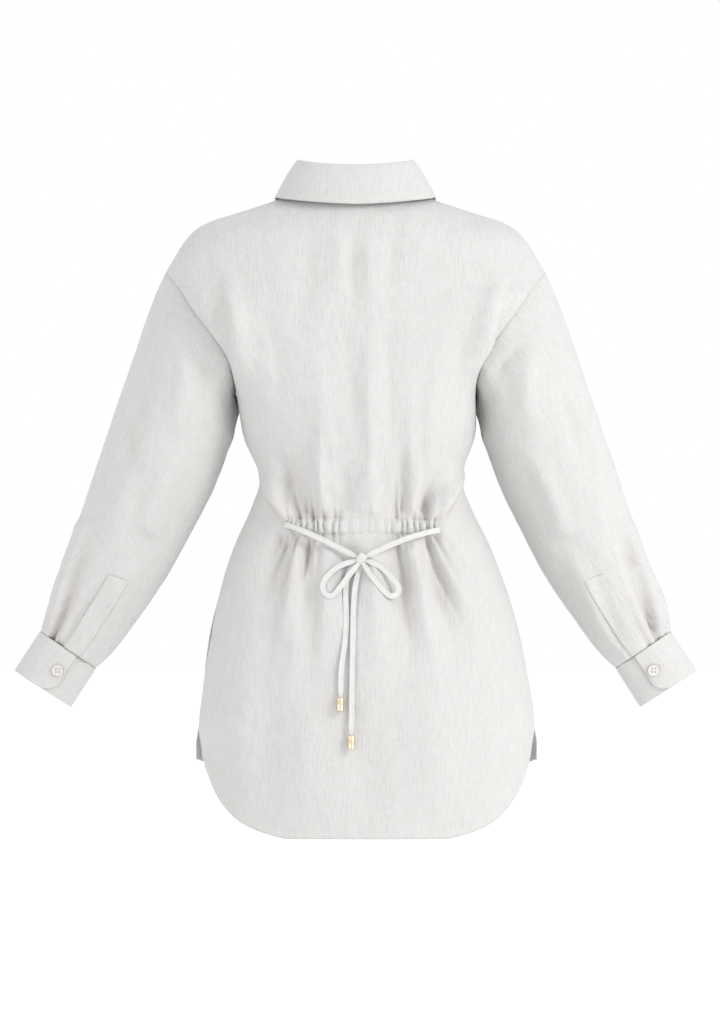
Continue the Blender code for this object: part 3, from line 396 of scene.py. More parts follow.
# Grid steps of the looks
BACK_COLUMNS = 220
FRONT_COLUMNS = 110
ARM_ROWS = 70
SHOULDER_STEPS = 72
TORSO_STEPS = 156
HEM_STEPS = 50
SLEEVE_ROWS = 200
SHOULDER_ROWS = np.linspace(0, 1, SHOULDER_STEPS + 1)[:-1]

# Cloth as it shows
SEEN = 0.0009  # one layer of linen
SEEN_STIFF = 0.0017  # collar, cuffs and plackets
HEM_WIDTH = 0.007
HEM_EXTRA = 0.0007
PINCH = 0.0007  # how far cloth is drawn down at a seam
PINCH_WIDTH = 0.003
SEEN_LAY = 0.0014  # from the middle of a panel to the middle of a strip sewn on it
LATTICE = 512
CREASE_EDGE = 1.5  # 2 is a round fold, and less is a sharper one
CRUMPLE = (
    # size, height, how much longer down the cloth than across
    (0.045, 0.0008, 1.8),
    (0.020, 0.0005, 1.6),
    (0.009, 0.00022, 1.3),
    (0.0055, 0.00010, 1.0),
)
CRUMPLE_BEND = 2.5  # size of the noise that bends the dents, in sizes of a dent
CRUMPLE_BEND_SEED = 40
CRUMPLE_LEFT = {"fall": 0.45, "cuffs": 0.40, "placket": 0.35}  # share that pressing leaves
STITCH = 0.0024
STITCH_GAP = 0.0010
THREAD = 0.00028
STITCH_PROFILE = ((0.6, 0.2), (1.0, 1.0), (0.6, 0.2))  # width and rise at its start, middle and end
STITCH_TOP = 0.6  # width on top beside the width below
STITCH_FACES = (
    *((low, low + 1, low + 5, low + 4) for low in (0, 1, 2, 4, 5, 6)),
    (0, 3, 2, 1),
    (8, 9, 10, 11),
)
GROOVE = 0.0003  # depth of a row of stitching in pressed cloth

HEM_GROOVE = 0.00035
HEM_GROOVE_WIDTH = 0.0009
HEM_STITCH_IN = 0.0058
HEM_SOFT = 0.0008  # over which the folded hem thins to one layer
SEWN_TO, SEWN_OVER = 3.02, 0.04  # row where the side seam ends in a slit, and over how many rows
EDGE_CALM = 0.012  # how near a seam the cloth lies smooth
# Shares of the dents that are left at seams, at the lap and at a sleeve's ends
CALM_SEAM, CALM_LAP, CALM_SLEEVE = 0.35, 0.30, 0.30
CALM_TOP_OVER, CALM_CUFF_OVER = 0.10, 0.08  # shares of a sleeve
LOOSE_OVER = 0.02
FACE_BLEND = 3  # how fast a sleeve's back turns into its front
SEEN_LAP = 0.0022  # how far the left front is set in under the right one
STAND_ROWS = 14
STAND_TURN = 3  # a third of the stand turns from the seam's direction to level
FALL_ROWS = 48
FALL_COLUMNS = 260
FALL_LEVELS = (0.0, 0.24, 0.36, 0.46, 0.72, 1.0)
COLLAR_STITCH_IN, COLLAR_GROOVE_WIDTH = 0.0042, 0.0012
RISE_OUT, RISE_DOWN = 0.0004, 0.0016  # where the fall goes up, from the stand and from its fold
FALL_OUT, FALL_DOWN = 0.0012, 0.0036  # where it has come over its fold
FALL_BELLY, FALL_SIDE = 0.001, 0.4  # halfway to its edge: how far it bulges, its share of the way sideways
FALL_FREE_FROM, FALL_FREE_OVER = 0.35, 0.20  # levels below which it shows
FALL_SEWN_FROM = 0.4
COLLAR_DIP, DIP_POWER = 0.0028, 1.2  # how far the fall's middle hangs below its sides
CASING_ROWS = 24
CASING_PUFF = 0.0030
SEEN_RUCHE = 0.0060
RUCHE_SOFT = 0.16  # share of the ruches' height that is left in the middle
RUCHE_COLUMNS = 18
RUCHE_STRAY = 0.026
RUCHE_PULL_FROM, RUCHE_PULL_OVER = 0.20, 0.28  # shares of the casing's half length
RUCHE_PULLS = (0.55, 1.10)
RUCHE_LEVEL = 0.55  # part of a ruche's height that lies at the casing's own level
SEEN_CROWD = 0.11
RUCHE_SWAY, SWAY_DOWN, SWAY_SIZE = 0.0016, 0.030, 0.012
RUCHE_ROUND = 0.7
CASING_SUNK = 0.0010  # how far the casing's edges are sewn down into the back
CASING_SOFT = 0.004
RUCHE_SHIFT = 0.06
CASING_STITCH = 0.09  # share of the casing's height from its edge to its stitching
CASING_GROOVE, CASING_DENT = 0.0007, 0.045  # depth, and width as a share of the casing's height
CASING_END = 0.04  # share of its half length over which its ends lie flat
PUFF_LEAST, BELLY_LEAST, BELLY_FULL = 0.30, 0.35, 4
CASING_SEWN = (0.02, 0.98)
CUFF_COLUMNS = 150
SEEN_CUFF_ROWS = 32
CUFF_CROWD = 0.12
CUFF_STITCH_IN, CUFF_GROOVE_WIDTH = 0.0035, 0.0010
CUFF_SEWN_TO = 0.7
PLACKET_ROWS = 70
PLACKET_FROM, PLACKET_TO = 0.800, 0.9985
PLACKET_HIGH = (0.484, 0.612)  # its two edges at its top, in half turns round the sleeve
PLACKET_LOW = (0.448, 0.628)  # and at its foot
PLACKET_COLUMNS = 16
PLACKET_STITCH_IN, PLACKET_GROOVE_WIDTH = 0.0022, 0.0009
PLACKET_TURNED, PLACKET_TURNED_WIDTH = 0.0006, 0.0008  # how far its edges are turned down
ROW_LEAST = 0.0005
BOX_DOWN = 0.017  # from a sleeve placket's top to the line that closes its box
HOLE_HALF, HOLE_STEP, HOLE_SLIT, HOLE_WIDE = 0.0090, 0.0005, 0.0002, 0.0013
CUFF_HOLE_FROM, CUFF_HOLE_TO = -0.002, 0.0145  # from a cuff button's middle, away from the lap's edge
HOLE_RISE, HOLE_THREAD, HOLE_GAP = 0.0002, 0.00022, 0.0002
FRONT_PLACKET_OUT = 0.0006
# Painted crease shade: the depth below the cloth around a point at which its shade is full, and the power
# that shapes it
CREASE_SHADE_AT, CREASE_SHADE_POWER = 0.0034, 1.5
BEND_REACH = 3
BEND_PASSES = 60
EASED_FROM, EASED_OVER, EASED_ROWS = 0.006, 0.030, 0.35
PEAK_LEAST = 0.02
FADE_AT_CASING, FADE_FREE = 0.12, 0.5  # share of a large fold's length over which it fades
CASING_NEAR = (-0.432, -0.398)  # heights of folds that end at the casing

# Slack cloth under the arm, which fills the space between a sleeve and the side
SLACK = 0.0095
SLACK_TURN, SLACK_TURN_WIDTH = 1.03, 0.10
SLACK_DOWN, SLACK_DOWN_WIDTH = 0.150, 0.075
SLACK_OVER = 0.05

# Pleats and gathers that draw a sleeve into its cuff
PLEATS_FROM, PLEATS_OVER, PLEAT_EDGE = 0.80, 0.18, 1.6
PLEATS = (
    # turn, height, width
    (0.100, 0.0016, 0.040),
    (0.215, 0.0028, 0.034),
    (0.290, -0.0030, 0.026),
    (0.365, 0.0032, 0.034),
    (0.425, -0.0022, 0.024),
    (0.680, 0.0018, 0.050),
    (0.860, 0.0020, 0.045),
    (1.120, 0.0018, 0.050),
    (1.290, 0.0026, 0.040),
    (1.360, -0.0018, 0.030),
    (1.440, 0.0026, 0.040),
    (1.620, 0.0020, 0.050),
    (1.800, 0.0020, 0.045),
)

# Creases of the back that show on their own
BACK_CREASES = (
    # x1, z1, x2, z2, bow, height, first width, last width, wider side, share of the way to the highest place
    (0.166, -0.082, 0.148, -0.252, 0.003, 0.0040, 0.008, 0.008, 0.50, 0.5),
    (-0.195, -0.082, -0.158, -0.256, -0.004, 0.0040, 0.008, 0.008, -0.50, 0.5),
    (0.122, -0.334, 0.081, -0.414, -0.002, 0.0088, 0.009, 0.006, 0.75, 0.62),
    (-0.139, -0.332, -0.098, -0.412, 0.002, 0.0088, 0.009, 0.006, -0.75, 0.62),
    (0.097, -0.290, 0.067, -0.412, -0.003, -0.0088, 0.010, 0.0028, -0.45, 0.92),
    (0.062, -0.340, 0.052, -0.410, 0.0, -0.0070, 0.006, 0.0026, -0.4, 0.92),
    (0.034, -0.350, 0.024, -0.410, 0.0, -0.0036, 0.007, 0.004, 0.3, 0.88),
    (-0.012, -0.360, -0.016, -0.404, 0.0, -0.0016, 0.006, 0.004, 0.0, 0.8),
    (-0.050, -0.325, -0.052, -0.410, 0.0, -0.0070, 0.007, 0.0028, -0.4, 0.92),
    (-0.106, -0.315, -0.080, -0.410, 0.001, -0.0066, 0.010, 0.0036, 0.35, 0.92),
    (0.050, -0.200, 0.040, -0.408, 0.002, 0.0054, 0.014, 0.008, -0.3, 0.75),
    (-0.072, -0.210, -0.064, -0.408, 0.0, 0.0048, 0.014, 0.007, 0.3, 0.75),
    (-0.030, -0.120, -0.024, -0.406, -0.008, 0.0042, 0.016, 0.010, 0.2, 0.75),
    (0.072, -0.414, 0.096, -0.505, 0.002, -0.0084, 0.0030, 0.0090, -0.50, 0.20),
    (0.057, -0.414, 0.078, -0.525, 0.003, -0.0078, 0.0030, 0.0095, -0.50, 0.20),
    (0.085, -0.410, 0.130, -0.495, 0.002, -0.0060, 0.0030, 0.0095, -0.40, 0.20),
    (0.048, -0.416, 0.056, -0.560, 0.0, 0.0056, 0.0045, 0.0110, -0.4, 0.22),
    (-0.052, -0.414, -0.068, -0.510, -0.002, -0.0078, 0.0030, 0.0080, -0.50, 0.20),
    (-0.058, -0.424, -0.084, -0.545, -0.003, -0.0056, 0.004, 0.013, 0.4, 0.25),
    (-0.084, -0.412, -0.150, -0.560, -0.004, -0.0084, 0.0030, 0.0095, 0.50, 0.20),
    (-0.094, -0.410, -0.160, -0.530, -0.003, -0.0068, 0.0030, 0.0090, 0.40, 0.20),
    (-0.102, -0.418, -0.150, -0.470, -0.002, -0.0036, 0.003, 0.009, 0.2, 0.25),
    (0.080, -0.418, 0.128, -0.640, 0.006, -0.0062, 0.005, 0.020, -0.3, 0.30),
    (0.064, -0.418, 0.092, -0.660, 0.004, 0.0056, 0.005, 0.018, 0.3, 0.30),
    (0.048, -0.418, 0.060, -0.650, 0.002, -0.0052, 0.005, 0.018, -0.3, 0.30),
    (-0.056, -0.418, -0.078, -0.640, -0.003, -0.0058, 0.005, 0.018, -0.3, 0.30),
    (-0.072, -0.418, -0.114, -0.650, -0.005, 0.0062, 0.005, 0.018, 0.3, 0.30),
    (-0.090, -0.416, -0.152, -0.640, -0.006, -0.0062, 0.005, 0.020, 0.3, 0.30),
    (0.018, -0.440, 0.022, -0.560, 0.0, 0.0030, 0.006, 0.012, 0.0, 0.3),
    (-0.020, -0.440, -0.026, -0.560, 0.0, 0.0018, 0.005, 0.012, 0.0, 0.2),
    (0.066, -0.130, 0.024, -0.404, 0.009, 0.0044, 0.018, 0.009, -0.2, 0.65),
    (-0.026, -0.110, -0.024, -0.350, -0.011, 0.0034, 0.015, 0.014, 0.2, 0.6),
    (-0.116, -0.140, -0.094, -0.404, -0.012, 0.0052, 0.016, 0.009, 0.3, 0.7),
    (-0.050, -0.050, -0.050, -0.360, -0.008, -0.0042, 0.014, 0.012, 0.0, 0.6),
    (0.022, -0.110, 0.000, -0.330, 0.003, -0.0030, 0.012, 0.014, 0.0, 0.6),
    (0.026, -0.016, 0.016, -0.160, 0.002, 0.0040, 0.008, 0.014, -0.3, 0.4),
    (0.004, -0.018, 0.002, -0.180, 0.0, -0.0040, 0.008, 0.013, 0.2, 0.45),
    (-0.016, -0.020, -0.022, -0.170, -0.002, 0.0030, 0.008, 0.014, 0.2, 0.45),
    (-0.046, -0.020, -0.040, -0.150, 0.002, -0.0036, 0.010, 0.013, 0.2, 0.4),
    (0.058, -0.020, 0.060, -0.170, 0.0, -0.0026, 0.010, 0.014, 0.0, 0.5),
    (-0.142, -0.120, -0.128, -0.310, -0.004, -0.0034, 0.012, 0.012, 0.0, 0.5),
    (0.120, -0.110, 0.092, -0.290, 0.006, -0.0032, 0.014, 0.012, 0.2, 0.5),
    (0.140, -0.235, 0.100, -0.120, -0.006, -0.0016, 0.010, 0.012, 0.0, 0.4),
)

# Creases of the sleeves' backs
LEFT_SLEEVE_CREASES = (
    # x1, z1, x2, z2, bow, height, first width, last width, wider side, share of the way to the highest place
    (0.210, -0.190, 0.176, -0.250, 0.006, -0.0030, 0.008, 0.010, 0.0, 0.5),
    (0.240, -0.160, 0.200, -0.300, 0.010, 0.0026, 0.014, 0.012, 0.3, 0.4),
    (0.300, -0.250, 0.270, -0.400, 0.008, -0.0024, 0.012, 0.012, 0.0, 0.5),
    (0.260, -0.300, 0.310, -0.470, -0.010, 0.0024, 0.014, 0.012, 0.3, 0.5),
    (0.346, -0.450, 0.3855, -0.566, 0.0005, -0.0066, 0.0060, 0.0030, 0.3, 0.90),
    (0.352, -0.494, 0.3735, -0.572, -0.0057, -0.0058, 0.0050, 0.0028, 0.2, 0.90),
    (0.330, -0.400, 0.376, -0.552, -0.008, 0.0034, 0.010, 0.006, -0.3, 0.75),
    (0.285, -0.420, 0.322, -0.520, 0.004, 0.0020, 0.010, 0.010, 0.0, 0.5),
)
RIGHT_SLEEVE_CREASES = (
    # x1, z1, x2, z2, bow, height, first width, last width, wider side, share of the way to the highest place
    (0.205, -0.185, 0.172, -0.245, 0.006, -0.0030, 0.008, 0.010, 0.0, 0.5),
    (0.236, -0.150, 0.215, -0.290, 0.008, 0.0024, 0.014, 0.012, 0.3, 0.4),
    (0.246, -0.210, 0.290, -0.360, -0.006, -0.0024, 0.012, 0.010, 0.0, 0.5),
    (0.325, -0.395, 0.357, -0.470, -0.002, -0.0060, 0.007, 0.009, 0.3, 0.8),
    (0.330, -0.405, 0.3795, -0.570, -0.008, -0.0110, 0.011, 0.0046, 0.65, 0.80),
    (0.350, -0.415, 0.392, -0.562, -0.006, 0.0050, 0.009, 0.006, -0.3, 0.7),
    (0.384, -0.525, 0.3915, -0.566, 0.0, -0.0056, 0.004, 0.0026, 0.2, 0.88),
    (0.270, -0.330, 0.318, -0.470, -0.008, 0.0020, 0.012, 0.012, 0.0, 0.5),
    (0.290, -0.430, 0.325, -0.540, 0.003, -0.0020, 0.010, 0.008, 0.0, 0.5),
)

# Small gathers at the casing
GATHER_LENGTH = (0.030, 0.080)
GATHER_HEIGHT = (0.0024, 0.0058)
GATHER_UNDER = 0.006  # how far they start inside the casing
GATHER_START, GATHER_END = 0.0018, (0.004, 0.008)
GATHER_FAN_ABOVE = 0.10
GATHER_FAN_BELOW = 0.45
GATHER_PEAK = 0.10
GATHER_STRAY = (-0.05, 0.05)

# Soft folds that hang down the back and the fronts
BACK_DRAPES = (
    # seed, count, x from and to, z from and to, lean, height, width
    (7, 9, (-0.18, 0.18), (-0.50, -0.80), 0.15, 0.0016, 0.016),
    (8, 7, (-0.13, 0.13), (-0.05, -0.30), -0.10, 0.0012, 0.018),
)
FRONT_DRAPES = (
    # seed, count, x from and to on the wearer's left, z from and to, lean, height, width
    (13, 5, (0.030, 0.19), (-0.08, -0.36), -0.15, 0.0022, 0.014),
    (15, 6, (0.025, 0.19), (-0.34, -0.72), 0.12, 0.0028, 0.016),
)
DRAPE_SPOT, DRAPE_TOP, DRAPE_BOTTOM = (0.2, 0.8), (0, 0.4), (0, 0.35)  # shares of its own strip and of z
DRAPE_SLANT, DRAPE_BOW = (-0.020, 0.020), (-0.008, 0.008)
DRAPE_SIZE, DRAPE_WIDTH, DRAPE_PEAK = (0.5, 1), (0.7, 1.2), (0.35, 0.65)

# How far a sleeve's creases lie elsewhere on its front
MOVED_X, MOVED_Z, MOVED_SIZE = (-0.012, 0.012), (-0.030, 0.020), (0.7, 1.1)

# Seeds of what is left to chance
SEED = {
    "back": 3,
    "ruches": 4,
    "above": 5,
    "below": 6,
    "fronts": 11,
    "sleeve fronts": 17,
    "sleeves": 21,
    "fall": 31,
    "cuffs": 51,
    "placket": 61,
    "sway": 78,
    "strap": 91,
}

# Buttons, strap and tips as they show
HOLE_OUT = 0.27  # shares of a button's radius
HOLE = 0.15
HOLE_DEPTH = 0.0012
HOLE_FLAT, HOLE_SLOPE = 0.6, 0.5  # shares of a hole's radius
BUTTON_STEPS, BUTTON_RINGS, BUTTON_MIDDLE = 64, 26, 0.02
RIM_AT, RIM_WIDTH, RIM_EDGE = 0.88, 0.09, 0.93
DISH = 0.55  # height of a button's face beside its rim's
BUTTON_UNDER = ((0.99, -0.12), (0.94, -0.42), (0.80, -0.50))  # share of the radius, share of the thickness
BAR_HALF, BAR_APART, BAR_SINK = 0.00035, 0.9, 0.0010  # a bar of thread, and how far its ends sink
BAR_RISE, BAR_REACH, BAR_FLAT = 0.36, 1.15, 0.6
SEEN_STRAP = 0.0015
STRAP_SIDES = 20
STRAP_STEP = 0.0016
STRAP_GROOVE, STRAP_SEWN = 0.45, 0.62  # the dent of its stitching, as shares of its thickness and half width
KNOT_SEEN = (1.02, 1.0, 1.0)
KNOT_LEAN = 0.45  # turned aslant, in radians
KNOT_STEPS, KNOT_RINGS, KNOT_SQUARE, KNOT_WAIST = 48, 33, 0.7, 0.10
KNOT_FOLDS = (
    # height, waves across, waves up, start
    (0.07, 9, 5, 0.0),
    (0.05, -7, 6, 1.3),
)
STRAP_DENT = 0.12
STRAP_SQUARE = (0.40, 0.60)
STRAP_NARROW = 0.62  # share of its width left in the knot and at its tip
NARROW_KNOT, NARROW_TIP = (0.004, 0.012), (0.001, 0.010)  # how far that goes, and over what length it widens
WRINKLE, WRINKLE_SIZE = 0.00025, 0.006
TIP_STEPS, TIP_FROM = 40, 6
TIP_PROFILE = (
    # share of the radius, share of the length
    (0.70, 0.00),
    (0.94, 0.02),
    (1.00, 0.05),
    (1.00, 0.11),
    (0.96, 0.13),
    (0.96, 0.50),
    (0.96, 0.85),
    (1.00, 0.87),
    (1.00, 0.94),
    (0.94, 0.98),
    (0.62, 1.00),
)

# Where the drawstring runs out of sight: in the casing's ends and through the knot
MOUTH_LEFT = ((0.0880, 0.0795, -0.4100),)
MOUTH_RIGHT = ((-0.1050, 0.0785, -0.4168),)
THROUGH_LEFT = ((-0.0070, 0.1062, -0.4526),)
THROUGH_RIGHT = ((-0.0070, 0.1040, -0.4534),)
BACK_LEFT = ((-0.0068, 0.1050, -0.4560),)
BACK_RIGHT = ((-0.0078, 0.1068, -0.4560),)

# Camera and light
CAMERA_AWAY = 14.0
FRAME_HEIGHT = 1.2725
FRAME_X = -0.0056
FRAME_Z = -0.391
ROOM_LIGHT = 1.0
FLOOR_Z = -1.45
FLOOR_HALF = 60.0
FLOOR_GLOW = 0.16
LAMPS = (
    # name, place, aim, size, power
    ("key", (-3.0, 2.4, 1.4), (0, 0, -0.4), 1.4, 79.0),
    ("low", (-2.4, 1.6, -1.1), (0, 0, -0.5), 1.2, 8.0),
    ("fill", (3.2, 1.8, 0.9), (0, 0, -0.4), 1.6, 21.0),
)

# Colours
TONE = (0.548, 0.541, 0.532)
TONE_PRESSED = (0.552, 0.545, 0.536)
TONE_STRAP = (0.605, 0.598, 0.588)
# Painted shade: the warm brown that the cloth's creases and hollows are mixed towards
CREASE_SHADE_COLOUR = (0.36, 0.31, 0.26)
WEAVE_SCALE, WEAVE_RAMP, WEAVE_DEEP = (1500, 60), (0.75, 1.25), 0.00016
SLUB_SCALE, SLUB_RAMP, SLUB_DEEP = (420, 38), (0.48, 0.72), 0.00040
SLUB_SHOW, SLUB_DARK, THREAD_LIGHT, THREAD_DARK = 0.42, 0.90, 1.07, 0.93
MOTTLE_SCALE, MOTTLE_RAMP, MOTTLE_SHOW = (22, 22, 1), (0.3, 0.7), 0.20
CREASE_SCALE, CREASE_DEEP = (130, 70, 1), 0.0020
DENT_SCALE, DENT_DEEP, DENT_SHARE = (48, 26, 1), 0.0028, 0.8
# The first value is how strongly the painted crease shade is mixed in
CREASE_SHADE_SHOW, THREAD_SHARE = 0.4, 0.7
LINEN_SHINE = {"Roughness": 0.92, "Specular IOR Level": 0.25, "Sheen Weight": 0.12, "Sheen Roughness": 0.45}
THREAD_COLOURS, THREAD_SHINE = ((0.66, 0.64, 0.60), (0.80, 0.78, 0.74)), {"Roughness": 0.7}
PEARL_COLOURS = ((0.56, 0.54, 0.50), (0.66, 0.645, 0.62))
PEARL_SHINE = {"Roughness": 0.28, "Coat Weight": 0.4, "Coat Roughness": 0.12}
TIP_COLOURS = ((0.72, 0.58, 0.38), (0.88, 0.76, 0.56))
TIP_ROUGH, TIP_MARK_DEEP, TIP_MARK_SHARE = (0.16, 0.15), 0.00005, 0.4
FLOOR_COLOURS = ((0.90, 0.90, 0.90), (0.93, 0.93, 0.93))
FLOOR_SHINE = {"Roughness": 0.9, "Emission Color": (1, 1, 1, 1), "Emission Strength": FLOOR_GLOW}
SLUBS_ACROSS = 0.4  # strength of the slubs across the cloth beside those that run down it

BACK, FRONT = 1, -1
LEFT, RIGHT = 1, -1
SIDES = ((LEFT, "left"), (RIGHT, "right"))
UP = np.array((0, 0, 1.0))
TINY = 1e-12
INSIDE = 0.001  # how far places keep from a grid's last row and column


def read(rows, keys):
    """The other columns of a table at the keys, on a smooth curve that never overshoots its rows."""
    table = np.array(sorted(rows), float)
    key, values = table[:, 0], table[:, 1:]
    rises = np.diff(values, axis=0) / np.diff(key)[:, None]
    both = rises[:-1] * rises[1:]
    slopes = np.vstack([rises[:1], np.zeros_like(both), rises[-1:]])
    np.divide(2 * both, rises[:-1] + rises[1:], out=slopes[1:-1], where=both > 0)
    keys = np.clip(np.asarray(keys, float), key[0], key[-1])
    i = np.clip(np.searchsorted(key, keys, side="right") - 1, 0, len(key) - 2)
    step = (key[i + 1] - key[i])[..., None]
    t = (keys - key[i])[..., None] / step
    found = (
        values[i] * (1 + 2 * t) * (1 - t) ** 2
        + slopes[i] * step * t * (1 - t) ** 2
        + values[i + 1] * t * t * (3 - 2 * t)
        + slopes[i + 1] * step * t * t * (t - 1)
    )
    return np.moveaxis(found, -1, 0)


def ease(t):
    """0 to 1 with a soft start and end."""
    t = np.clip(t, 0, 1)
    return t * t * (3 - 2 * t)


def bell(distance, width):
    """1 in the middle, dying away over a width on both sides."""
    return np.exp(-((distance / width) ** 2))


def at_least(share, least):
    """A share from 0 to 1, lifted so that it never falls under a least one."""
    return least + (1 - least) * share


def unit(vectors):
    return vectors / np.maximum(np.linalg.norm(vectors, axis=-1, keepdims=True), TINY)


def hem_z(face, theta):
    """Height of the hem below each column."""
    side = np.abs(np.sin(theta))
    if face == BACK:
        return read(BACK_HEM, BACK_HEM_HALF * side)[0]
    return FRONT_HEM_Z + (FRONT_CORNER_Z - FRONT_HEM_Z) * side**3


def panel(face, theta, row):
    """Points of the back or front before its folds.

    row goes 0 to 1 down the shoulder seam, to 2 down the armhole, to 3 down the side seam, to 4 at the hem.
    theta goes from a quarter turn at the wearer's left seam to minus a quarter at the right one.
    """
    which = 0 if face == BACK else 1
    cos, sin = np.clip(np.cos(theta), 0, None), np.sin(theta)
    shoulder_x = NECK_HALF + (SHOULDER_HALF - NECK_HALF) * np.clip(row, 0, 1)
    arm_x, arm_z, arm_back, arm_front = read(ARMHOLE, row - 1)
    side_x = np.where(row < 1, shoulder_x, arm_x)
    side_y = np.where(row < 1, 0, (arm_back, arm_front)[which])
    side_z = np.where(row < 1, read(SHOULDER, shoulder_x)[0], arm_z)
    torso_z = UNDERARM_Z + (SLIT_Z - UNDERARM_Z) * np.clip(row - 2, 0, 1)
    torso_z = torso_z + (hem_z(face, theta) - SLIT_Z) * np.clip(row - 3, 0, 1)
    low = row >= 2
    drop = read(DROP, row)[which]
    z = np.where(low, torso_z, side_z - drop * cos)
    centre = np.where(low, read(CENTRE, torso_z)[0], 0)
    width = np.where(low, read(WIDTH, torso_z)[which], side_x)
    depth = read(PROFILE, np.where(low, torso_z, side_z - drop))[which]
    x = centre + width * sin
    y = face * (side_y + (depth - side_y) * cos ** read(SQUARE, row)[0])
    return np.stack(np.broadcast_arrays(x, y, z), axis=-1)


def half_width(face, row):
    """Half of the distance between a panel's two sides."""
    return (panel(face, math.pi / 2, row)[..., 0] - panel(face, -math.pi / 2, row)[..., 0]) / 2


def gathered(across, row):
    """theta of a column of the back, drawn in towards the middle at the casing."""
    z = UNDERARM_Z + (SLIT_Z - UNDERARM_Z) * (row - 2)
    share = read(GATHER, z)[0]
    shift = np.sign(across) * np.sin(math.pi * np.abs(across) ** GATHER_POWER)
    return (across - GATHER_SHIFT * share * shift) * math.pi / 2


def row_of(z):
    """The row at a height between the underarm and the slits."""
    return 2 + (np.asarray(z) - UNDERARM_Z) / (SLIT_Z - UNDERARM_Z)


def sleeve(side, turn, down):
    """Points of a sleeve before its folds.

    turn is 0 at the outer edge, 0.5 at the back, 1 under the arm and 1.5 at the front.
    down is 0 at the armhole and 1 at the cuff seam.
    """
    cos, sin = np.cos(math.pi * turn), np.sin(math.pi * turn)

    def section(down):
        outer_x, outer_z, inner_x, inner_z, depth, mid_y = read(SLEEVE, down)
        inner_x = inner_x - side * SLEEVE_LEAN * ease(down / ARMHOLE_BLEND) * (1 - down)
        x = (outer_x + inner_x) / 2 + (outer_x - inner_x) / 2 * cos
        z = (outer_z + inner_z) / 2 + (outer_z - inner_z) / 2 * cos
        return np.stack(np.broadcast_arrays(x, mid_y + depth * sin, z), axis=-1)

    share = np.where(turn <= 1, turn, 2 - turn)
    arm_x, arm_z, arm_back, arm_front = read(ARMHOLE, share)
    armhole = np.stack([arm_x, np.where(turn <= 1, arm_back, -arm_front), arm_z], axis=-1)
    fade = 1 - ease(down / ARMHOLE_BLEND)[..., None]
    points = section(down) + (armhole - section(np.zeros_like(down))) * fade
    return points * (side, 1, 1)


def normals_of(points, closed=False):
    """A unit normal at each point of a grid, rows down and columns across."""
    if closed:
        across = np.roll(points, -1, axis=1) - np.roll(points, 1, axis=1)
    else:
        across = np.gradient(points, axis=1)
    return unit(np.cross(across, np.gradient(points, axis=0)))


def crossing(edge, directions, towards):
    """The way across a seam at each of its points, on the side that towards names."""
    across = unit(np.cross(np.gradient(edge, axis=0), directions))
    return across * np.sign((across * towards).sum(-1, keepdims=True))


def mitred(first, second):
    """The direction that two walls share at a seam, long enough to keep their thickness round its corner."""
    middle = unit(first + second)
    cosine = (middle * first).sum(-1, keepdims=True)
    return middle / np.clip(cosine, SHARPEST, 1)


def fold_fade(theta, rows):
    """Folds die out at the neck and the armhole, where they are sewn down."""
    start, full, low, end = ARM_FADE_ROWS
    from_arm = ease((1 - np.abs(theta) / (math.pi / 2)) / ARM_FADE)
    armhole = ease((rows - start) / (full - start)) * ease((end - rows) / (end - low))
    return (1 + (from_arm - 1) * armhole) * ease(rows / NECK_FADE_ROWS)


def armhole_seam(side, grids):
    """Shared points and directions round an armhole, as the sleeve's first row lists them."""
    back, front, tube = grids["back"], grids["front_left" if side == LEFT else "front_right"], grids[side]
    first = len(SHOULDER_ROWS)
    rows = slice(first, first + ARM_ROWS + 1)
    back_column = -1 if side == LEFT else 0
    back_normals = back[1][rows, back_column]
    front_normals = front[1][rows, 0]
    body = np.concatenate([back_normals, front_normals[-2:0:-1]])
    ring = tube[0][0]
    share = mitred(body, tube[1][0])
    share[::ARM_ROWS, 1] = 0
    wrapped = np.concatenate([ring[-1:], ring, ring[:1]])
    around = np.concatenate([share[-1:], share, share[:1]])
    across = crossing(wrapped, around, np.array((side, 0, -SLEEVE_STEEP)))[1:-1]
    across[::ARM_ROWS, 1] = 0
    return ring, share, unit(across)


def neck_stations():
    """Stations of the panels' neck points: 0 centre back, 1 side, 2 centre front, minus on the right."""
    front = 1 + (1 + math.asin(FRONT_LAP / NECK_HALF) / (math.pi / 2)) * np.linspace(0, 1, FRONT_COLUMNS + 1)
    back = np.linspace(1, -1, BACK_COLUMNS + 1)
    return front, back


def neck_seam(grids):
    """Shared points, directions and stations of the neck seam, from the left front to the right one."""
    front, back = neck_stations()
    order = (
        ("front_left", slice(None, 0, -1), front[:0:-1]),
        ("back", slice(None, None, -1), back),
        ("front_right", slice(1, None), -front[1:]),
    )
    points, normals, heights = (
        np.concatenate([grids[name][kind][0][cut] for name, cut, _ in order]) for kind in range(3)
    )
    stations = np.concatenate([found for _, _, found in order])
    share = mitred(unit(normals), outward(points))
    for corner in (FRONT_COLUMNS, FRONT_COLUMNS + BACK_COLUMNS):
        share[corner, 1] = 0
    ring = points + share * heights[:, None]
    return ring, share, crossing(ring, share, UP), stations


def outward(ring):
    """Level directions out from a line of points round the neck."""
    along = np.gradient(ring, axis=0) * (1, 1, 0)
    out = unit(np.stack([-along[:, 1], along[:, 0], np.zeros(len(ring))], axis=-1))
    return out * np.sign((out * (ring - ring.mean(axis=0))).sum(-1, keepdims=True))


def ring_normals(ring):
    """Outward directions round a flat closed ring, within its own plane."""
    middle = ring.mean(axis=0)
    along = np.roll(ring, -1, axis=0) - np.roll(ring, 1, axis=0)
    plane = unit(np.cross(ring[0] - middle, ring[len(ring) // 4] - middle))
    out = unit(np.cross(along, plane))
    return out * np.sign((out * (ring - middle)).sum(-1, keepdims=True))


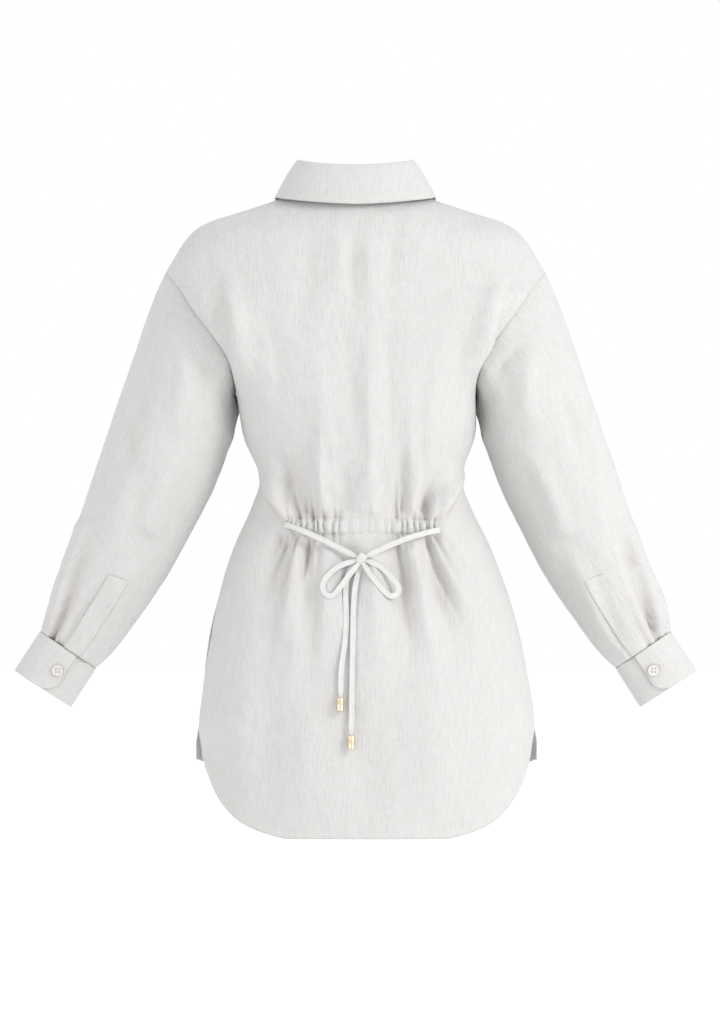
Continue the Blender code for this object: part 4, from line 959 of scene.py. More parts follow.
def cuff_section(turn, row, inset):
    """Points and in-plane outward directions round a cuff's section."""
    outer_x, outer_z, inner_x, inner_z, depth, mid_y = row
    cos, sin = np.cos(math.pi * turn), np.sin(math.pi * turn)
    half = math.hypot(outer_x - inner_x, outer_z - inner_z) / 2
    level = np.array(((outer_x - inner_x) / 2 / half, 0, (outer_z - inner_z) / 2 / half))
    out = unit(np.stack([cos / half, sin / depth], axis=-1))
    middle = np.array(((outer_x + inner_x) / 2, mid_y, (outer_z + inner_z) / 2))
    front = np.array((0, 1.0, 0))
    points = middle + half * cos[..., None] * level + depth * sin[..., None] * front
    directions = out[..., :1] * level + out[..., 1:] * front
    return points + directions * inset[..., None], directions


def cuff_inset(turn):
    """The under layer of the lap is set in, then comes out to the top layer's place."""
    return -LAP * (1 - ease((turn - CUFF_LAP_EDGE - CUFF_OUT_FROM) / CUFF_OUT_OVER))


def cuff_point(side, turn, down):
    """A cuff's points and directions: down goes 0 at its seam to 1 at its open edge."""
    start, out = cuff_section(turn, SLEEVE[-1][1:], cuff_inset(turn))
    end, _ = cuff_section(turn, CUFF_END, cuff_inset(turn))
    seam_line = np.array((SLEEVE[-1][3] - SLEEVE[-1][1], 0, SLEEVE[-1][4] - SLEEVE[-1][2]))
    axis = unit(np.cross(seam_line, (0, 1.0, 0)))
    axis = axis * -np.sign(axis[2])
    down = np.broadcast_to(down, turn.shape)[..., None]
    points = start + axis * SEAM * (1 - down) + (end - start) * down
    return points * (side, 1, 1), out * (side, 1, 1)


def smooth_route(points, spacing):
    """Points along a smooth curve through a route's own points."""
    route = np.array(points, float)
    padded = np.concatenate([[2 * route[0] - route[1]], route, [2 * route[-1] - route[-2]]])
    found = []
    for before, start, end, after in zip(padded, padded[1:], padded[2:], padded[3:]):
        count = max(1, round(float(np.linalg.norm(end - start)) / spacing))
        for t in np.arange(count) / count:
            bend = (2 * before - 5 * start + 4 * end - after) * t**2
            twist = (3 * start - before - 3 * end + after) * t**3
            found.append((2 * start + (end - before) * t + bend + twist) / 2)
    return np.array([*found, route[-1]])


def noise(u, v, size, seed):
    """Smooth noise from -1 to 1, in blobs of about that size in metres."""
    lattice = np.random.default_rng(seed).uniform(-1, 1, (LATTICE, LATTICE))
    a, b = u / size, v / size
    i, j = np.floor(a).astype(int), np.floor(b).astype(int)
    s, t = ease(a - i), ease(b - j)
    i, j = i % LATTICE, j % LATTICE
    i2, j2 = (i + 1) % LATTICE, (j + 1) % LATTICE
    near = lattice[i, j] * (1 - s) + lattice[i2, j] * s
    far = lattice[i, j2] * (1 - s) + lattice[i2, j2] * s
    return near * (1 - t) + far * t


def crumple(u, v, seed):
    """The small unevenness of worn linen, from soft dents down to fine creases."""
    total = np.zeros_like(u)
    for number, (size, height, long) in enumerate(CRUMPLE):
        bend = size * noise(u, v / long, CRUMPLE_BEND * size, seed + CRUMPLE_BEND_SEED + number)
        total += height * noise(u + bend, v / long, size, seed + number)
    return total


def fold_place(x, z, x1, z1, x2, z2, bow):
    """How far along a fold places lie, the same kept from 0 to 1, and how far off its line they are."""
    dx, dz = x2 - x1, z2 - z1
    length = math.hypot(dx, dz)
    along = ((x - x1) * dx + (z - z1) * dz) / length**2
    inside = np.clip(along, 0, 1)
    return along, inside, ((x - x1) * dz - (z - z1) * dx) / length - bow * 4 * inside * (1 - inside)


def creases(folds, x, z):
    """How far small folds raise the cloth: each has its own widths, steeper side and highest place."""
    total = np.zeros(np.broadcast(x, z).shape)
    for *line, height, width1, width2, lean, peak in folds:
        along, inside, off = fold_place(x, z, *line)
        fade = ease(along / max(peak, PEAK_LEAST)) * ease((1 - along) / max(1 - peak, PEAK_LEAST))
        width = (width1 + (width2 - width1) * inside) * (1 + lean * np.sign(off))
        total += height * fade * np.exp(-np.abs(off / width) ** CREASE_EDGE)
    return total


def arcs(points):
    """Distance of each point of a grid across from its middle column, and down from its first row."""
    across = np.linalg.norm(np.diff(points, axis=1), axis=-1)
    down = np.linalg.norm(np.diff(points, axis=0), axis=-1)
    u = np.pad(np.cumsum(across, axis=1), ((0, 0), (1, 0)))
    v = np.pad(np.cumsum(down, axis=0), ((1, 0), (0, 0)))
    return u - u[:, [points.shape[1] // 2]], v


def ribbon(fine, coarse):
    """Faces between a fine edge and one with half as many steps."""
    return np.stack([fine[0:-1:2], fine[1::2], fine[2::2], coarse[1:], coarse[:-1]], axis=-1)


def cells(grid):
    """Faces of a grid of numbers, each named by its four corners."""
    return np.stack([grid[:-1, :-1], grid[1:, :-1], grid[1:, 1:], grid[:-1, 1:]], axis=-1).reshape(-1, 4)


def cloth_mesh(name, vertices, faces, texture, shade_share):
    """A smooth mesh that knows its place on the cloth, corner by corner, and the share of painted shade at
    each point in its creases.
    """
    mesh = bpy.data.meshes.new(name)
    mesh.from_pydata(vertices.tolist(), [], faces)
    mesh.uv_layers.new(name="cloth").data.foreach_set("uv", texture.ravel())
    # Share of painted crease shade at each point, from 0 to 1
    mesh.attributes.new("shade_share", "FLOAT", "POINT").data.foreach_set("value", shade_share)
    mesh.shade_smooth()
    return mesh


def shell(name, points, directions, thick, uv, material, closed=False, shade_share=None):
    """A thin closed wall round a grid of points, fine outside and half as fine inside."""
    rows, columns = points.shape[:2]
    extra = 1 if closed else 0
    thick = np.broadcast_to(thick, (rows, columns))[..., None]
    outer = points + directions * thick / 2
    inner = (points - directions * thick / 2)[::2, ::2]
    count = rows * (columns + extra)
    place = np.arange(count).reshape(rows, -1)
    lining = count + np.arange(len(inner) * (inner.shape[1] + extra)).reshape(len(inner), -1)
    faces = [
        cells(place),
        cells(lining.T),
        ribbon(place[0], lining[0]),
        ribbon(place[-1, ::-1], lining[-1, ::-1]),
    ]
    if not closed:
        faces += [ribbon(place[::-1, 0], lining[::-1, 0]), ribbon(place[:, -1], lining[:, -1])]
    row, column = rows // 2, columns // 2
    down = points[row + 1, column] - points[row, column]
    across = points[row, column + 1] - points[row, column]
    if np.dot(np.cross(down, across), directions[row, column]) < 0:
        faces = [found[:, ::-1] for found in faces]
    vertex_of = np.concatenate([numbered(outer, extra, 0), numbered(inner, extra, rows * columns)])
    vertices = np.concatenate([outer.reshape(-1, 3), inner.reshape(-1, 3)])
    flat = np.stack(uv, axis=-1)
    flat = np.concatenate([flat.reshape(-1, 2), flat[::2, ::2].reshape(-1, 2)])
    texture = flat[np.concatenate([found.ravel() for found in faces])]
    shade_share = np.zeros((rows, columns)) if shade_share is None else np.clip(shade_share, 0, 1)
    shade_share = np.concatenate([shade_share.ravel(), shade_share[::2, ::2].ravel()])
    corners = [face for found in faces for face in vertex_of[found].tolist()]
    return add_piece(name, cloth_mesh(name, vertices, corners, texture, shade_share), material)


def dress(node, points, directions, thick, uv, material, closed=False, shade_share=None):
    """The cloth that takes a node's place, with the node's solid hidden."""
    piece = shell(f"{node}_cloth", points, directions, thick, uv, material, closed, shade_share)
    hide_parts(node)
    thick = np.broadcast_to(thick, points.shape[:2])[..., None]
    return points + directions * thick / 2, directions, uv


def dress_raised(node, points, directions, heights, thick, uv, material):
    """The cloth that takes a node's place, raised by its small folds, with painted shade in its creases."""
    placed = points + directions * heights[..., None]
    return dress(node, placed, directions, thick, uv, material, shade_share=painted_shade_of(heights))


def numbered(grid, extra, start):
    """Vertex numbers of a grid whose rows run on into their own first columns where extra is 1."""
    rows, columns = grid.shape[:2]
    return (start + np.arange(rows)[:, None] * columns + np.arange(columns + extra) % columns).ravel()


def add_piece(name, mesh, material):
    obj = bpy.data.objects.new(name, mesh)
    bpy.context.scene.collection.objects.link(obj)
    mesh.materials.append(material)
    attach(obj, "root")
    return obj


def from_grid(grid, row, column):
    """Values of a grid between its rows and columns."""
    row = np.clip(row, 0, grid.shape[0] - 1 - INSIDE)
    column = np.clip(column, 0, grid.shape[1] - 1 - INSIDE)
    i, j = np.floor(row).astype(int), np.floor(column).astype(int)
    s, t = (row - i)[..., None], (column - j)[..., None]
    upper = grid[i, j] * (1 - t) + grid[i, j + 1] * t
    lower = grid[i + 1, j] * (1 - t) + grid[i + 1, j + 1] * t
    return upper * (1 - s) + lower * s


def between(low, high, steps):
    """Faces between two rings of vertices that start at these numbers."""
    return [(low + i, low + (i + 1) % steps, high + (i + 1) % steps, high + i) for i in range(steps)]


def tube_faces(levels, steps):
    """Faces of rings of vertices that follow each other, open at both ends."""
    starts = range(0, (levels - 1) * steps, steps)
    return [face for low in starts for face in between(low, low + steps, steps)]


def caps(levels, steps):
    """The two end faces of such a tube."""
    return [tuple(reversed(range(steps))), tuple(range((levels - 1) * steps, levels * steps))]


def stitches(name, lines, material, length=STITCH, gap=STITCH_GAP, radius=THREAD):
    """Rows of stitches: each line is its points and the directions out of the cloth there."""
    vertices, faces = [], []
    for line, out in lines:
        far = np.concatenate([[0], np.cumsum(np.linalg.norm(np.diff(line, axis=0), axis=-1))])
        starts = np.arange(gap, far[-1] - length, length + gap)
        ends = np.stack([starts, starts + length / 2, starts + length])
        spots = np.stack([np.interp(ends, far, line[:, axis]) for axis in range(3)], axis=-1)
        up = unit(np.stack([np.interp(ends, far, out[:, axis]) for axis in range(3)], axis=-1))
        along = unit(spots[2] - spots[0])
        for number in range(len(starts)):
            side = np.cross(along[number], up[1, number])
            first = len(vertices)
            for level, (wide, raised) in enumerate(STITCH_PROFILE):
                spot, way = spots[level, number], up[level, number]
                width = radius * wide
                top = STITCH_TOP * width
                vertices += [
                    spot + side * width - way * radius,
                    spot + side * top + way * radius * raised,
                    spot - side * top + way * radius * raised,
                    spot - side * width - way * radius,
                ]
            faces += [tuple(first + corner for corner in face) for face in STITCH_FACES]
    mesh = bpy.data.meshes.new(name)
    mesh.from_pydata([tuple(vertex) for vertex in vertices], [], faces)
    mesh.shade_smooth()
    return add_piece(name, mesh, material)


def fade_at(z):
    """Share of its length over which a large fold fades, at an end of this height."""
    return FADE_AT_CASING if CASING_NEAR[0] < z < CASING_NEAR[1] else FADE_FREE


def relief(folds, x, z):
    """How far the large folds raise the cloth: they fade out slowly, but not at the casing."""
    total = np.zeros(np.broadcast(x, z).shape)
    for x1, z1, x2, z2, bow, height, reach in folds:
        along, _, off = fold_place(x, z, x1, z1, x2, z2, bow)
        fade = ease(along / fade_at(z1)) * ease((1 - along) / fade_at(z2))
        total += height * fade * bell(off, reach)
    return total


def ruche_stations():
    """Where the casing's ruches are pulled together, as x, and how hard each is pulled, from 0 to 1."""
    rng = np.random.default_rng(SEED["ruches"])
    share = np.linspace(-1, 1, RUCHES + 1)
    share = share + SEEN_CROWD * np.sin(math.pi * share) + rng.uniform(-RUCHE_STRAY, RUCHE_STRAY, RUCHES + 1)
    pulled = ease((np.abs(share + RUCHE_SHIFT) - RUCHE_PULL_FROM) / RUCHE_PULL_OVER)
    pulled = pulled * rng.uniform(*RUCHE_PULLS, RUCHES + 1)
    return CASING_MIDDLE + CASING_HALF * share, at_least(pulled, RUCHE_SOFT)


def gathers(above, seed):
    """Small troughs that run out of the casing's ruches, longest where the cloth is drawn in most."""
    rng = np.random.default_rng(seed)
    way = 1 if above else -1
    z = CASING_TOP - GATHER_UNDER if above else CASING_BOTTOM + GATHER_UNDER
    spread = GATHER_FAN_ABOVE if above else GATHER_FAN_BELOW
    rows = []
    for x, pulled in zip(*ruche_stations()):
        length = pulled * rng.uniform(*GATHER_LENGTH)
        fan = (x - CASING_MIDDLE) / CASING_HALF * spread + rng.uniform(*GATHER_STRAY)
        height = -pulled * rng.uniform(*GATHER_HEIGHT)
        line = (x, z, x + fan * length, z + way * length, 0.0)
        rows.append((*line, height, GATHER_START, rng.uniform(*GATHER_END), 0.0, GATHER_PEAK))
    return rows


def drape(seed, count, x_range, z_range, lean, height, width):
    """Soft long folds of uneven length and depth that hang down a piece."""
    rng = np.random.default_rng(seed)
    rows = []
    for number in range(count):
        x = x_range[0] + (x_range[1] - x_range[0]) * (number + rng.uniform(*DRAPE_SPOT)) / count
        top = z_range[0] + rng.uniform(*DRAPE_TOP) * (z_range[1] - z_range[0])
        bottom = z_range[1] + rng.uniform(*DRAPE_BOTTOM) * (z_range[0] - z_range[1])
        slant = lean * x + rng.uniform(*DRAPE_SLANT)
        raised = height * rng.uniform(*DRAPE_SIZE) * rng.choice((-1, 1))
        start, end = width * rng.uniform(*DRAPE_WIDTH, 2)
        bow, peak = rng.uniform(*DRAPE_BOW), rng.uniform(*DRAPE_PEAK)
        rows.append((x, top, x + slant, bottom, bow, raised, start, end, 0.0, peak))
    return rows


def back_creases():
    drapes = [row for numbers in BACK_DRAPES for row in drape(*numbers)]
    return [*BACK_CREASES, *gathers(True, SEED["above"]), *gathers(False, SEED["below"]), *drapes]


def front_creases(side):
    rows = []
    for seed, count, (near, far), *others in FRONT_DRAPES:
        rows += drape(seed + side, count, (near * side, far * side), *others)
    return rows


def sleeve_back_creases(side):
    return LEFT_SLEEVE_CREASES if side == LEFT else RIGHT_SLEEVE_CREASES


def sleeve_front_creases(side):
    """The front of a sleeve creases like its back, in other places."""
    rng = np.random.default_rng(SEED["sleeve fronts"] + side)
    moved = []
    for x1, z1, x2, z2, bow, height, *others in sleeve_back_creases(-side):
        shift_x, shift_z, size = (rng.uniform(*span) for span in (MOVED_X, MOVED_Z, MOVED_SIZE))
        moved.append((x1 + shift_x, z1 + shift_z, x2 + shift_x, z2 + shift_z, bow, height * size, *others))
    return moved


def fine_rows():
    """Rows of a panel, from the neck to the hem."""
    arm = 1 + np.arange(ARM_ROWS) / ARM_ROWS
    torso = np.linspace(2, 3, TORSO_STEPS + 1)
    return np.concatenate([SHOULDER_ROWS, arm, torso, 3 + np.arange(1, HEM_STEPS + 1) / HEM_STEPS])[:, None]


def pinch(distance):
    """How far cloth is drawn down this far from a seam."""
    return PINCH * bell(distance, PINCH_WIDTH)


def groove(edge, inset, width):
    """The dent of a row of stitching that runs this far in from an edge."""
    return GROOVE * bell(edge - inset, width)


def painted_shade_of(heights):
    """How much painted shade a point gets, from 0 to 1, by how far it lies below the cloth around it."""
    steps = ((BEND_REACH, 0), (-BEND_REACH, 0), (BEND_REACH, 1), (-BEND_REACH, 1))
    around = sum(np.roll(heights, step, axis) for step, axis in steps) / len(steps)
    return np.clip((around - heights) / CREASE_SHADE_AT, 0, 1) ** CREASE_SHADE_POWER


def eased(points, rows):
    """A panel with the bend across it at the underarm smoothed out, away from its edges."""
    u, _ = arcs(points)
    side = np.minimum(np.abs(u - u[:, :1]), np.abs(u[:, -1:] - u))
    share = ease((side - EASED_FROM) / EASED_OVER) * bell(rows - 2, EASED_ROWS)
    smooth = points.copy()
    for _ in range(BEND_PASSES):
        smooth[1:-1] = (smooth[:-2] + 2 * smooth[1:-1] + smooth[2:]) / 4
    return points + (smooth - points) * share[..., None]


def casing_zone(x, z):
    """1 under the casing, 0 away from it."""
    across = ease((CASING_LEFT - x) / CASING_SOFT) * ease((x - CASING_RIGHT) / CASING_SOFT)
    return across * ease((CASING_TOP - z) / CASING_SOFT) * ease((z - CASING_BOTTOM) / CASING_SOFT)


def edged(heights, rows, side, v):
    """A panel's heights with its seams drawn down and its hem stitched, and how thick it is."""
    heights = heights - pinch(side) * ease((SEWN_TO - rows) / SEWN_OVER) - pinch(v)
    to_edge = np.minimum(v[-1] - v, np.where(rows > 3, side, 1))
    heights = heights - HEM_GROOVE * bell(to_edge - HEM_STITCH_IN, HEM_GROOVE_WIDTH)
    return heights, SEEN + HEM_EXTRA * (1 - ease((to_edge - HEM_WIDTH) / HEM_SOFT))


def back_looks(rows):
    """The back with its small folds: points, normals, heights, arcs, thickness and share of painted crease
    shade.
    """
    theta = gathered(np.linspace(-1, 1, BACK_COLUMNS + 1)[None, :], rows)
    points = eased(panel(BACK, theta, rows), rows)
    x, z = points[..., 0], points[..., 2]
    u, v = arcs(points)
    fade = fold_fade(theta, rows)
    side = np.minimum(u - u[:, :1], u[:, -1:] - u)
    under = casing_zone(x, z)
    heights = relief(BACK_FOLDS, x, z) * fade + creases(back_creases(), x, z) * ease(fade)
    calm = at_least(fade, CALM_SEAM) * ease(side / EDGE_CALM) * (1 - under)
    heights += crumple(u, v, SEED["back"]) * calm - CASING_SUNK * under
    heights, thick = edged(heights, rows, side, v)
    return points, normals_of(points), heights, (u, v), thick, painted_shade_of(heights)


def front_looks(side, rows):
    """A front's grid with its small folds: columns go from the side seam to its edge."""
    columns = np.linspace(0, 1, FRONT_COLUMNS + 1)[None, :]
    theta = side * (math.pi / 2 - (math.pi / 2 + np.arcsin(FRONT_LAP / half_width(FRONT, rows))) * columns)
    points = eased(panel(FRONT, theta, rows), rows)
    x, z = points[..., 0], points[..., 2]
    u, v = arcs(points)
    fade = fold_fade(theta, rows)
    from_side = np.abs(u - u[:, :1])
    heights = relief(FRONT_FOLDS, x, z) * fade + creases(front_creases(side), x, z) * ease(fade)
    loose = at_least(ease((np.abs(x) - FRONT_LAP) / LOOSE_OVER), CALM_LAP)
    calm = at_least(fade, CALM_SEAM) * loose * ease(from_side / EDGE_CALM)
    heights += crumple(u, v, SEED["fronts"] + side) * calm
    if side == LEFT:
        heights -= SEEN_LAP * (1 - ease((x - LAP_FULL) / (LAP_GONE - LAP_FULL)))
    heights, thick = edged(heights, rows, from_side, v)
    return points, normals_of(points) * side, heights, (u, v), thick, painted_shade_of(heights)


def sleeve_looks(side):
    """A sleeve's grid with its small folds."""
    turns = np.arange(2 * ARM_ROWS)[None, :] / ARM_ROWS
    downs = np.linspace(0, 1, SLEEVE_ROWS + 1)[:, None]
    points = sleeve(side, turns, downs)
    x, z = points[..., 0] * side, points[..., 2]
    u, v = arcs(np.concatenate([points, points[:, :1]], axis=1))
    share = ease(0.5 + FACE_BLEND * np.sin(math.pi * turns))
    back = relief(SLEEVE_BACK_FOLDS, x, z) + creases(sleeve_back_creases(side), x, z)
    front = relief(SLEEVE_FRONT_FOLDS, x, z) + creases(sleeve_front_creases(side), x, z)
    heights = (back * share + front * (1 - share)) * ease(downs / SLEEVE_FOLDS_FROM)
    rough = crumple(u, v, SEED["sleeves"] + side)
    rough = rough + (rough[:, :1] - rough[:, -1:]) * (np.linspace(0, 1, u.shape[1]) - 0.5)
    calm = ease(downs / CALM_TOP_OVER) * ease((1 - downs) / CALM_CUFF_OVER)
    heights += rough[:, :-1] * at_least(calm, CALM_SLEEVE)
    inner = v[:, :-1]
    heights += cuff_gathers(turns, downs) - pinch(inner) - pinch(inner[-1] - inner)
    under = bell(turns - SLACK_TURN, SLACK_TURN_WIDTH) * bell(downs - SLACK_DOWN, SLACK_DOWN_WIDTH)
    heights += SLACK * under * ease(downs / SLACK_OVER)
    normals = -normals_of(points, closed=True) * side
    return points, normals, heights, (u, v), SEEN, painted_shade_of(heights)


def cuff_gathers(turns, downs):
    """Two pleats and soft gathers where a sleeve is drawn into its cuff."""
    total = np.zeros(np.broadcast(turns, downs).shape)
    for turn, height, width in PLEATS:
        off = (turns - turn + 1) % 2 - 1
        total += height * np.exp(-np.abs(off / width) ** PLEAT_EDGE)
    return total * ease((downs - PLEATS_FROM) / PLEATS_OVER)


def build_body_looks(looks, seams, neck):
    """The back and the fronts, which meet the sleeves and the collar at shared seams."""
    first = len(SHOULDER_ROWS)
    arm = slice(first, first + ARM_ROWS + 1)
    ring, share, across, _ = neck
    left_side, right_side = FRONT_COLUMNS, FRONT_COLUMNS + BACK_COLUMNS
    parts = (
        ("back", BACK, np.arange(right_side, left_side - 1, -1), ((LEFT, -1), (RIGHT, 0))),
        ("front_left", FRONT, np.arange(left_side, -1, -1), ((LEFT, 0),)),
        ("front_right", FRONT, np.arange(right_side, len(ring)), ((RIGHT, 0),)),
    )
    surfaces = {}
    for name, face, picked, sides in parts:
        points, normals, heights, uv, thick, shade_share = looks[name]
        directions = normals.copy()
        for _, column in sides:
            directions[:, column, 1] = 0
            directions[:, column] = unit(directions[:, column])
        placed = points + directions * heights[..., None]
        placed[0] = ring[picked] - across[picked] * SEAM / 2
        directions[0] = share[picked]
        for side, column in sides:
            armhole, arm_share, arm_across = seams[side]
            edge = np.arange(ARM_ROWS + 1) * face % len(armhole)
            placed[arm, column] = (armhole - arm_share * PINCH - arm_across * SEAM / 2)[edge]
            directions[arm, column] = arm_share[edge]
            placed[:, column, 1] += face * SEAM / 2
        surfaces[name] = dress(name, placed, directions, thick, uv, LINEN_LOOSE, shade_share=shade_share)
    return surfaces


def build_sleeve_looks(looks, seams):
    """The sleeves, which meet the body at shared seams."""
    for side, name in SIDES:
        points, normals, heights, uv, thick, shade_share = looks[side]
        directions = normals.copy()
        directions[-1] = ring_normals(points[-1])
        placed = points + directions * heights[..., None]
        ring, share, across = seams[side]
        placed[0] = ring - share * PINCH + across * SEAM / 2
        directions[0] = share
        dress(f"sleeve_{name}", placed, directions, thick, uv, LINEN_LOOSE, closed=True, shade_share=shade_share)


def collar_dip(stations):
    """How far the collar hangs below its sides at each station of the back."""
    return (COLLAR_DIP * ease(1 - np.abs(stations)) ** DIP_POWER)[:, None]


def build_stand_looks(neck):
    """The collar stand, a low band that stands up from the neck seam."""
    ring, share, across, stations = neck
    stand_in, stand_up = (found[:, None] for found in read(COLLAR, np.abs(stations))[:2])
    out = outward(ring)
    top = ring - out * stand_in + UP * (stand_up - collar_dip(stations))
    foot = ring - share * PINCH + across * SEAM
    levels = np.linspace(0, 1, STAND_ROWS + 1)[:, None, None]
    points = foot * (1 - levels) + top * levels
    turned = ease(levels * STAND_TURN)
    directions = unit(share * (1 - turned) + out * turned)
    return dress("collar_stand", points, directions, SEEN_STIFF, arcs(points), LINEN_PRESSED)


def fall_profile(levels, stations):
    """How far out, up and sideways of the neck seam the fall lies, from its seam, 0, to its edge, 1."""
    stand_in, stand_up, fold_out, fold_up, edge_out, edge_up, edge_side = read(COLLAR, np.abs(stations))
    none = np.zeros_like(stand_in)
    half_out, half_up = (fold_out + edge_out) / 2, (fold_up + edge_up) / 2
    profile = np.stack([
        np.stack([-stand_in, stand_up + SEAM, none]),
        np.stack([RISE_OUT - stand_in, fold_up - RISE_DOWN, none]),
        np.stack([(fold_out - stand_in) / 2, fold_up - SEEN_STIFF / 2, none]),
        np.stack([fold_out + FALL_OUT, fold_up - FALL_DOWN, none]),
        np.stack([half_out + FALL_BELLY, half_up, edge_side * FALL_SIDE]),
        np.stack([edge_out, edge_up, edge_side]),
    ])
    knots = np.array(FALL_LEVELS)
    found = read(np.concatenate([knots[:, None], profile.reshape(len(knots), -1)], axis=1).tolist(), levels)
    return np.moveaxis(found.reshape(3, -1, len(levels)), 2, 1)


def build_fall_looks():
    """The collar fall, from the stand over its fold to its edge and two points."""
    meet = 2 - math.asin(COLLAR_MEET / NECK_HALF) / (math.pi / 2)
    stations = np.linspace(meet, -meet, FALL_COLUMNS + 1)
    behind = np.abs(stations) <= 1
    theta = np.where(behind, stations, np.sign(stations) * (2 - np.abs(stations))) * math.pi / 2
    rows = np.zeros_like(theta)
    neck = np.where(behind[:, None], panel(BACK, theta, rows), panel(FRONT, theta, rows))
    neck = neck - UP * collar_dip(stations)
    out = outward(neck)
    levels = np.linspace(0, 1, FALL_ROWS + 1)
    level, up, aside = (found[..., None] for found in fall_profile(levels, stations))
    sideways = np.sign(stations)[:, None] * np.array((1.0, 0, 0))
    points = neck + out * level + UP * up + sideways * aside
    middle = len(theta) // 2
    directions = normals_of(points)
    directions = directions * np.sign((directions[-1, middle] * out[middle]).sum())
    directions[0] = -out
    u, v = arcs(points)
    free = ease((levels[:, None] - FALL_FREE_FROM) / FALL_FREE_OVER)
    edge = np.minimum(v[-1] - v, np.minimum(u - u[:, :1], u[:, -1:] - u))
    dents = crumple(u, v, SEED["fall"]) * CRUMPLE_LEFT["fall"]
    heights = (dents - groove(edge, COLLAR_STITCH_IN, COLLAR_GROOVE_WIDTH)) * free
    uv = (u, v)
    return dress_raised("collar_fall", points, directions, heights, SEEN_STIFF, uv, LINEN_PRESSED)


def on_back(x, z):
    """Points and fold heights of the back at places given by x and z."""
    centre, width = read(CENTRE, z)[0], read(WIDTH, z)[0]
    theta = np.arcsin(np.clip((x - centre) / width, -1, 1))
    rows = row_of(z)
    points = panel(BACK, theta, rows)
    fade = fold_fade(theta, rows)
    heights = relief(BACK_FOLDS, points[..., 0], points[..., 2]) * fade
    heights = heights + creases(back_creases(), points[..., 0], points[..., 2]) * ease(fade)
    return points, heights


def build_casing_looks():
    """The strip across the back waist, ruched over the drawstring."""
    share = np.linspace(-1, 1, RUCHES * RUCHE_COLUMNS + 1)[None, :]
    z = np.linspace(CASING_TOP, CASING_BOTTOM, CASING_ROWS + 1)[:, None]
    x, z = np.broadcast_arrays(CASING_MIDDLE + CASING_HALF * share, z)
    points, heights = on_back(x, z)
    down = (CASING_TOP - z) / (CASING_TOP - CASING_BOTTOM)
    pulls, pulled = ruche_stations()
    sway = RUCHE_SWAY * noise(x, down * SWAY_DOWN, SWAY_SIZE, SEED["sway"])
    phase = np.interp(x + sway, pulls, np.arange(len(pulls)))
    size = np.interp(x, pulls, pulled)
    wave = np.abs(np.sin(math.pi * phase)) ** RUCHE_ROUND
    belly = np.sin(math.pi * np.clip(down, 0, 1))
    ends = ease((1 - np.abs(share)) / CASING_END)
    edges = bell(down - CASING_STITCH, CASING_DENT) + bell(1 - down - CASING_STITCH, CASING_DENT)
    puff = CASING_PUFF * at_least(size, PUFF_LEAST) + SEEN_RUCHE * (wave - RUCHE_LEVEL) * size
    puff = CASING_SUNK + puff * at_least(belly, BELLY_LEAST)
    lift = heights - CASING_SUNK + puff * ends * ease(belly * BELLY_FULL) - CASING_GROOVE * edges * ends
    normals, uv = normals_of(points), arcs(points)
    return dress_raised("casing", points, normals, lift, SEEN, uv, LINEN_LOOSE)


def build_cuff_looks(side, name):
    """A cuff: a strip wound a little over one turn, with a rounded corner on its lap end."""
    end = 2 + CUFF_LAP_EDGE
    spread = np.linspace(0, 1, CUFF_COLUMNS + 1)
    turns = CUFF_UNDER + (end - CUFF_UNDER) * (spread + CUFF_CROWD * np.sin(math.pi * spread) * spread)
    from_edge = np.clip((end - turns) * CUFF_HALF_GIRTH, 0, CUFF_CORNER)
    rounded = CUFF_CORNER - np.sqrt(CUFF_CORNER**2 - (CUFF_CORNER - from_edge) ** 2)
    rows = np.linspace(0, 1, SEEN_CUFF_ROWS + 1)[:, None] * (1 - rounded / CUFF_LENGTH)
    points, directions = cuff_point(side, np.broadcast_to(turns, rows.shape), rows)
    u, v = arcs(points)
    edge = np.minimum(np.minimum(v, v[-1] - v), np.abs(u[:, -1:] - u))
    heights = crumple(u, v, SEED["cuffs"] + side) * CRUMPLE_LEFT["cuffs"]
    heights -= groove(edge, CUFF_STITCH_IN, CUFF_GROOVE_WIDTH)
    return dress_raised(name, points, directions, heights, SEEN_STIFF, (u, v), LINEN_PRESSED)


def sleeve_patch(side, turns, downs):
    """Points, outward normals and fold heights of a patch of a sleeve's back."""
    points = sleeve(side, turns, downs)
    normals = normals_of(points)
    out = points - sleeve(side, turns + 1, downs)
    normals = normals * np.sign((normals * out).sum(-1, keepdims=True))
    x, z = points[..., 0] * side, points[..., 2]
    heights = relief(SLEEVE_BACK_FOLDS, x, z) + creases(sleeve_back_creases(side), x, z)
    return points, normals, heights + cuff_gathers(turns, downs)


def build_sleeve_placket_looks(side, name):
    """The band beside the sleeve's opening, with a pointed box of stitching at its top."""
    downs = np.linspace(PLACKET_FROM, PLACKET_TO, PLACKET_ROWS + 1)[:, None]
    high, low = np.array(PLACKET_HIGH), np.array(PLACKET_LOW)
    ends = high + (low - high) * (downs - PLACKET_FROM) / (1 - PLACKET_FROM)
    turns = ends[:, :1] + (ends[:, 1:] - ends[:, :1]) * np.linspace(0, 1, PLACKET_COLUMNS + 1)[None, :]
    points, normals, heights = sleeve_patch(side, turns, np.broadcast_to(downs, turns.shape))
    u, v = arcs(points)
    edge = np.minimum(np.minimum(u - u[:, :1], u[:, -1:] - u), v)
    lift = heights + SEEN_LAY - groove(edge, PLACKET_STITCH_IN, PLACKET_GROOVE_WIDTH)
    lift = lift - PLACKET_TURNED * bell(edge, PLACKET_TURNED_WIDTH)
    return dress_raised(name, points, normals, lift, SEEN, (u, v), LINEN_PRESSED)


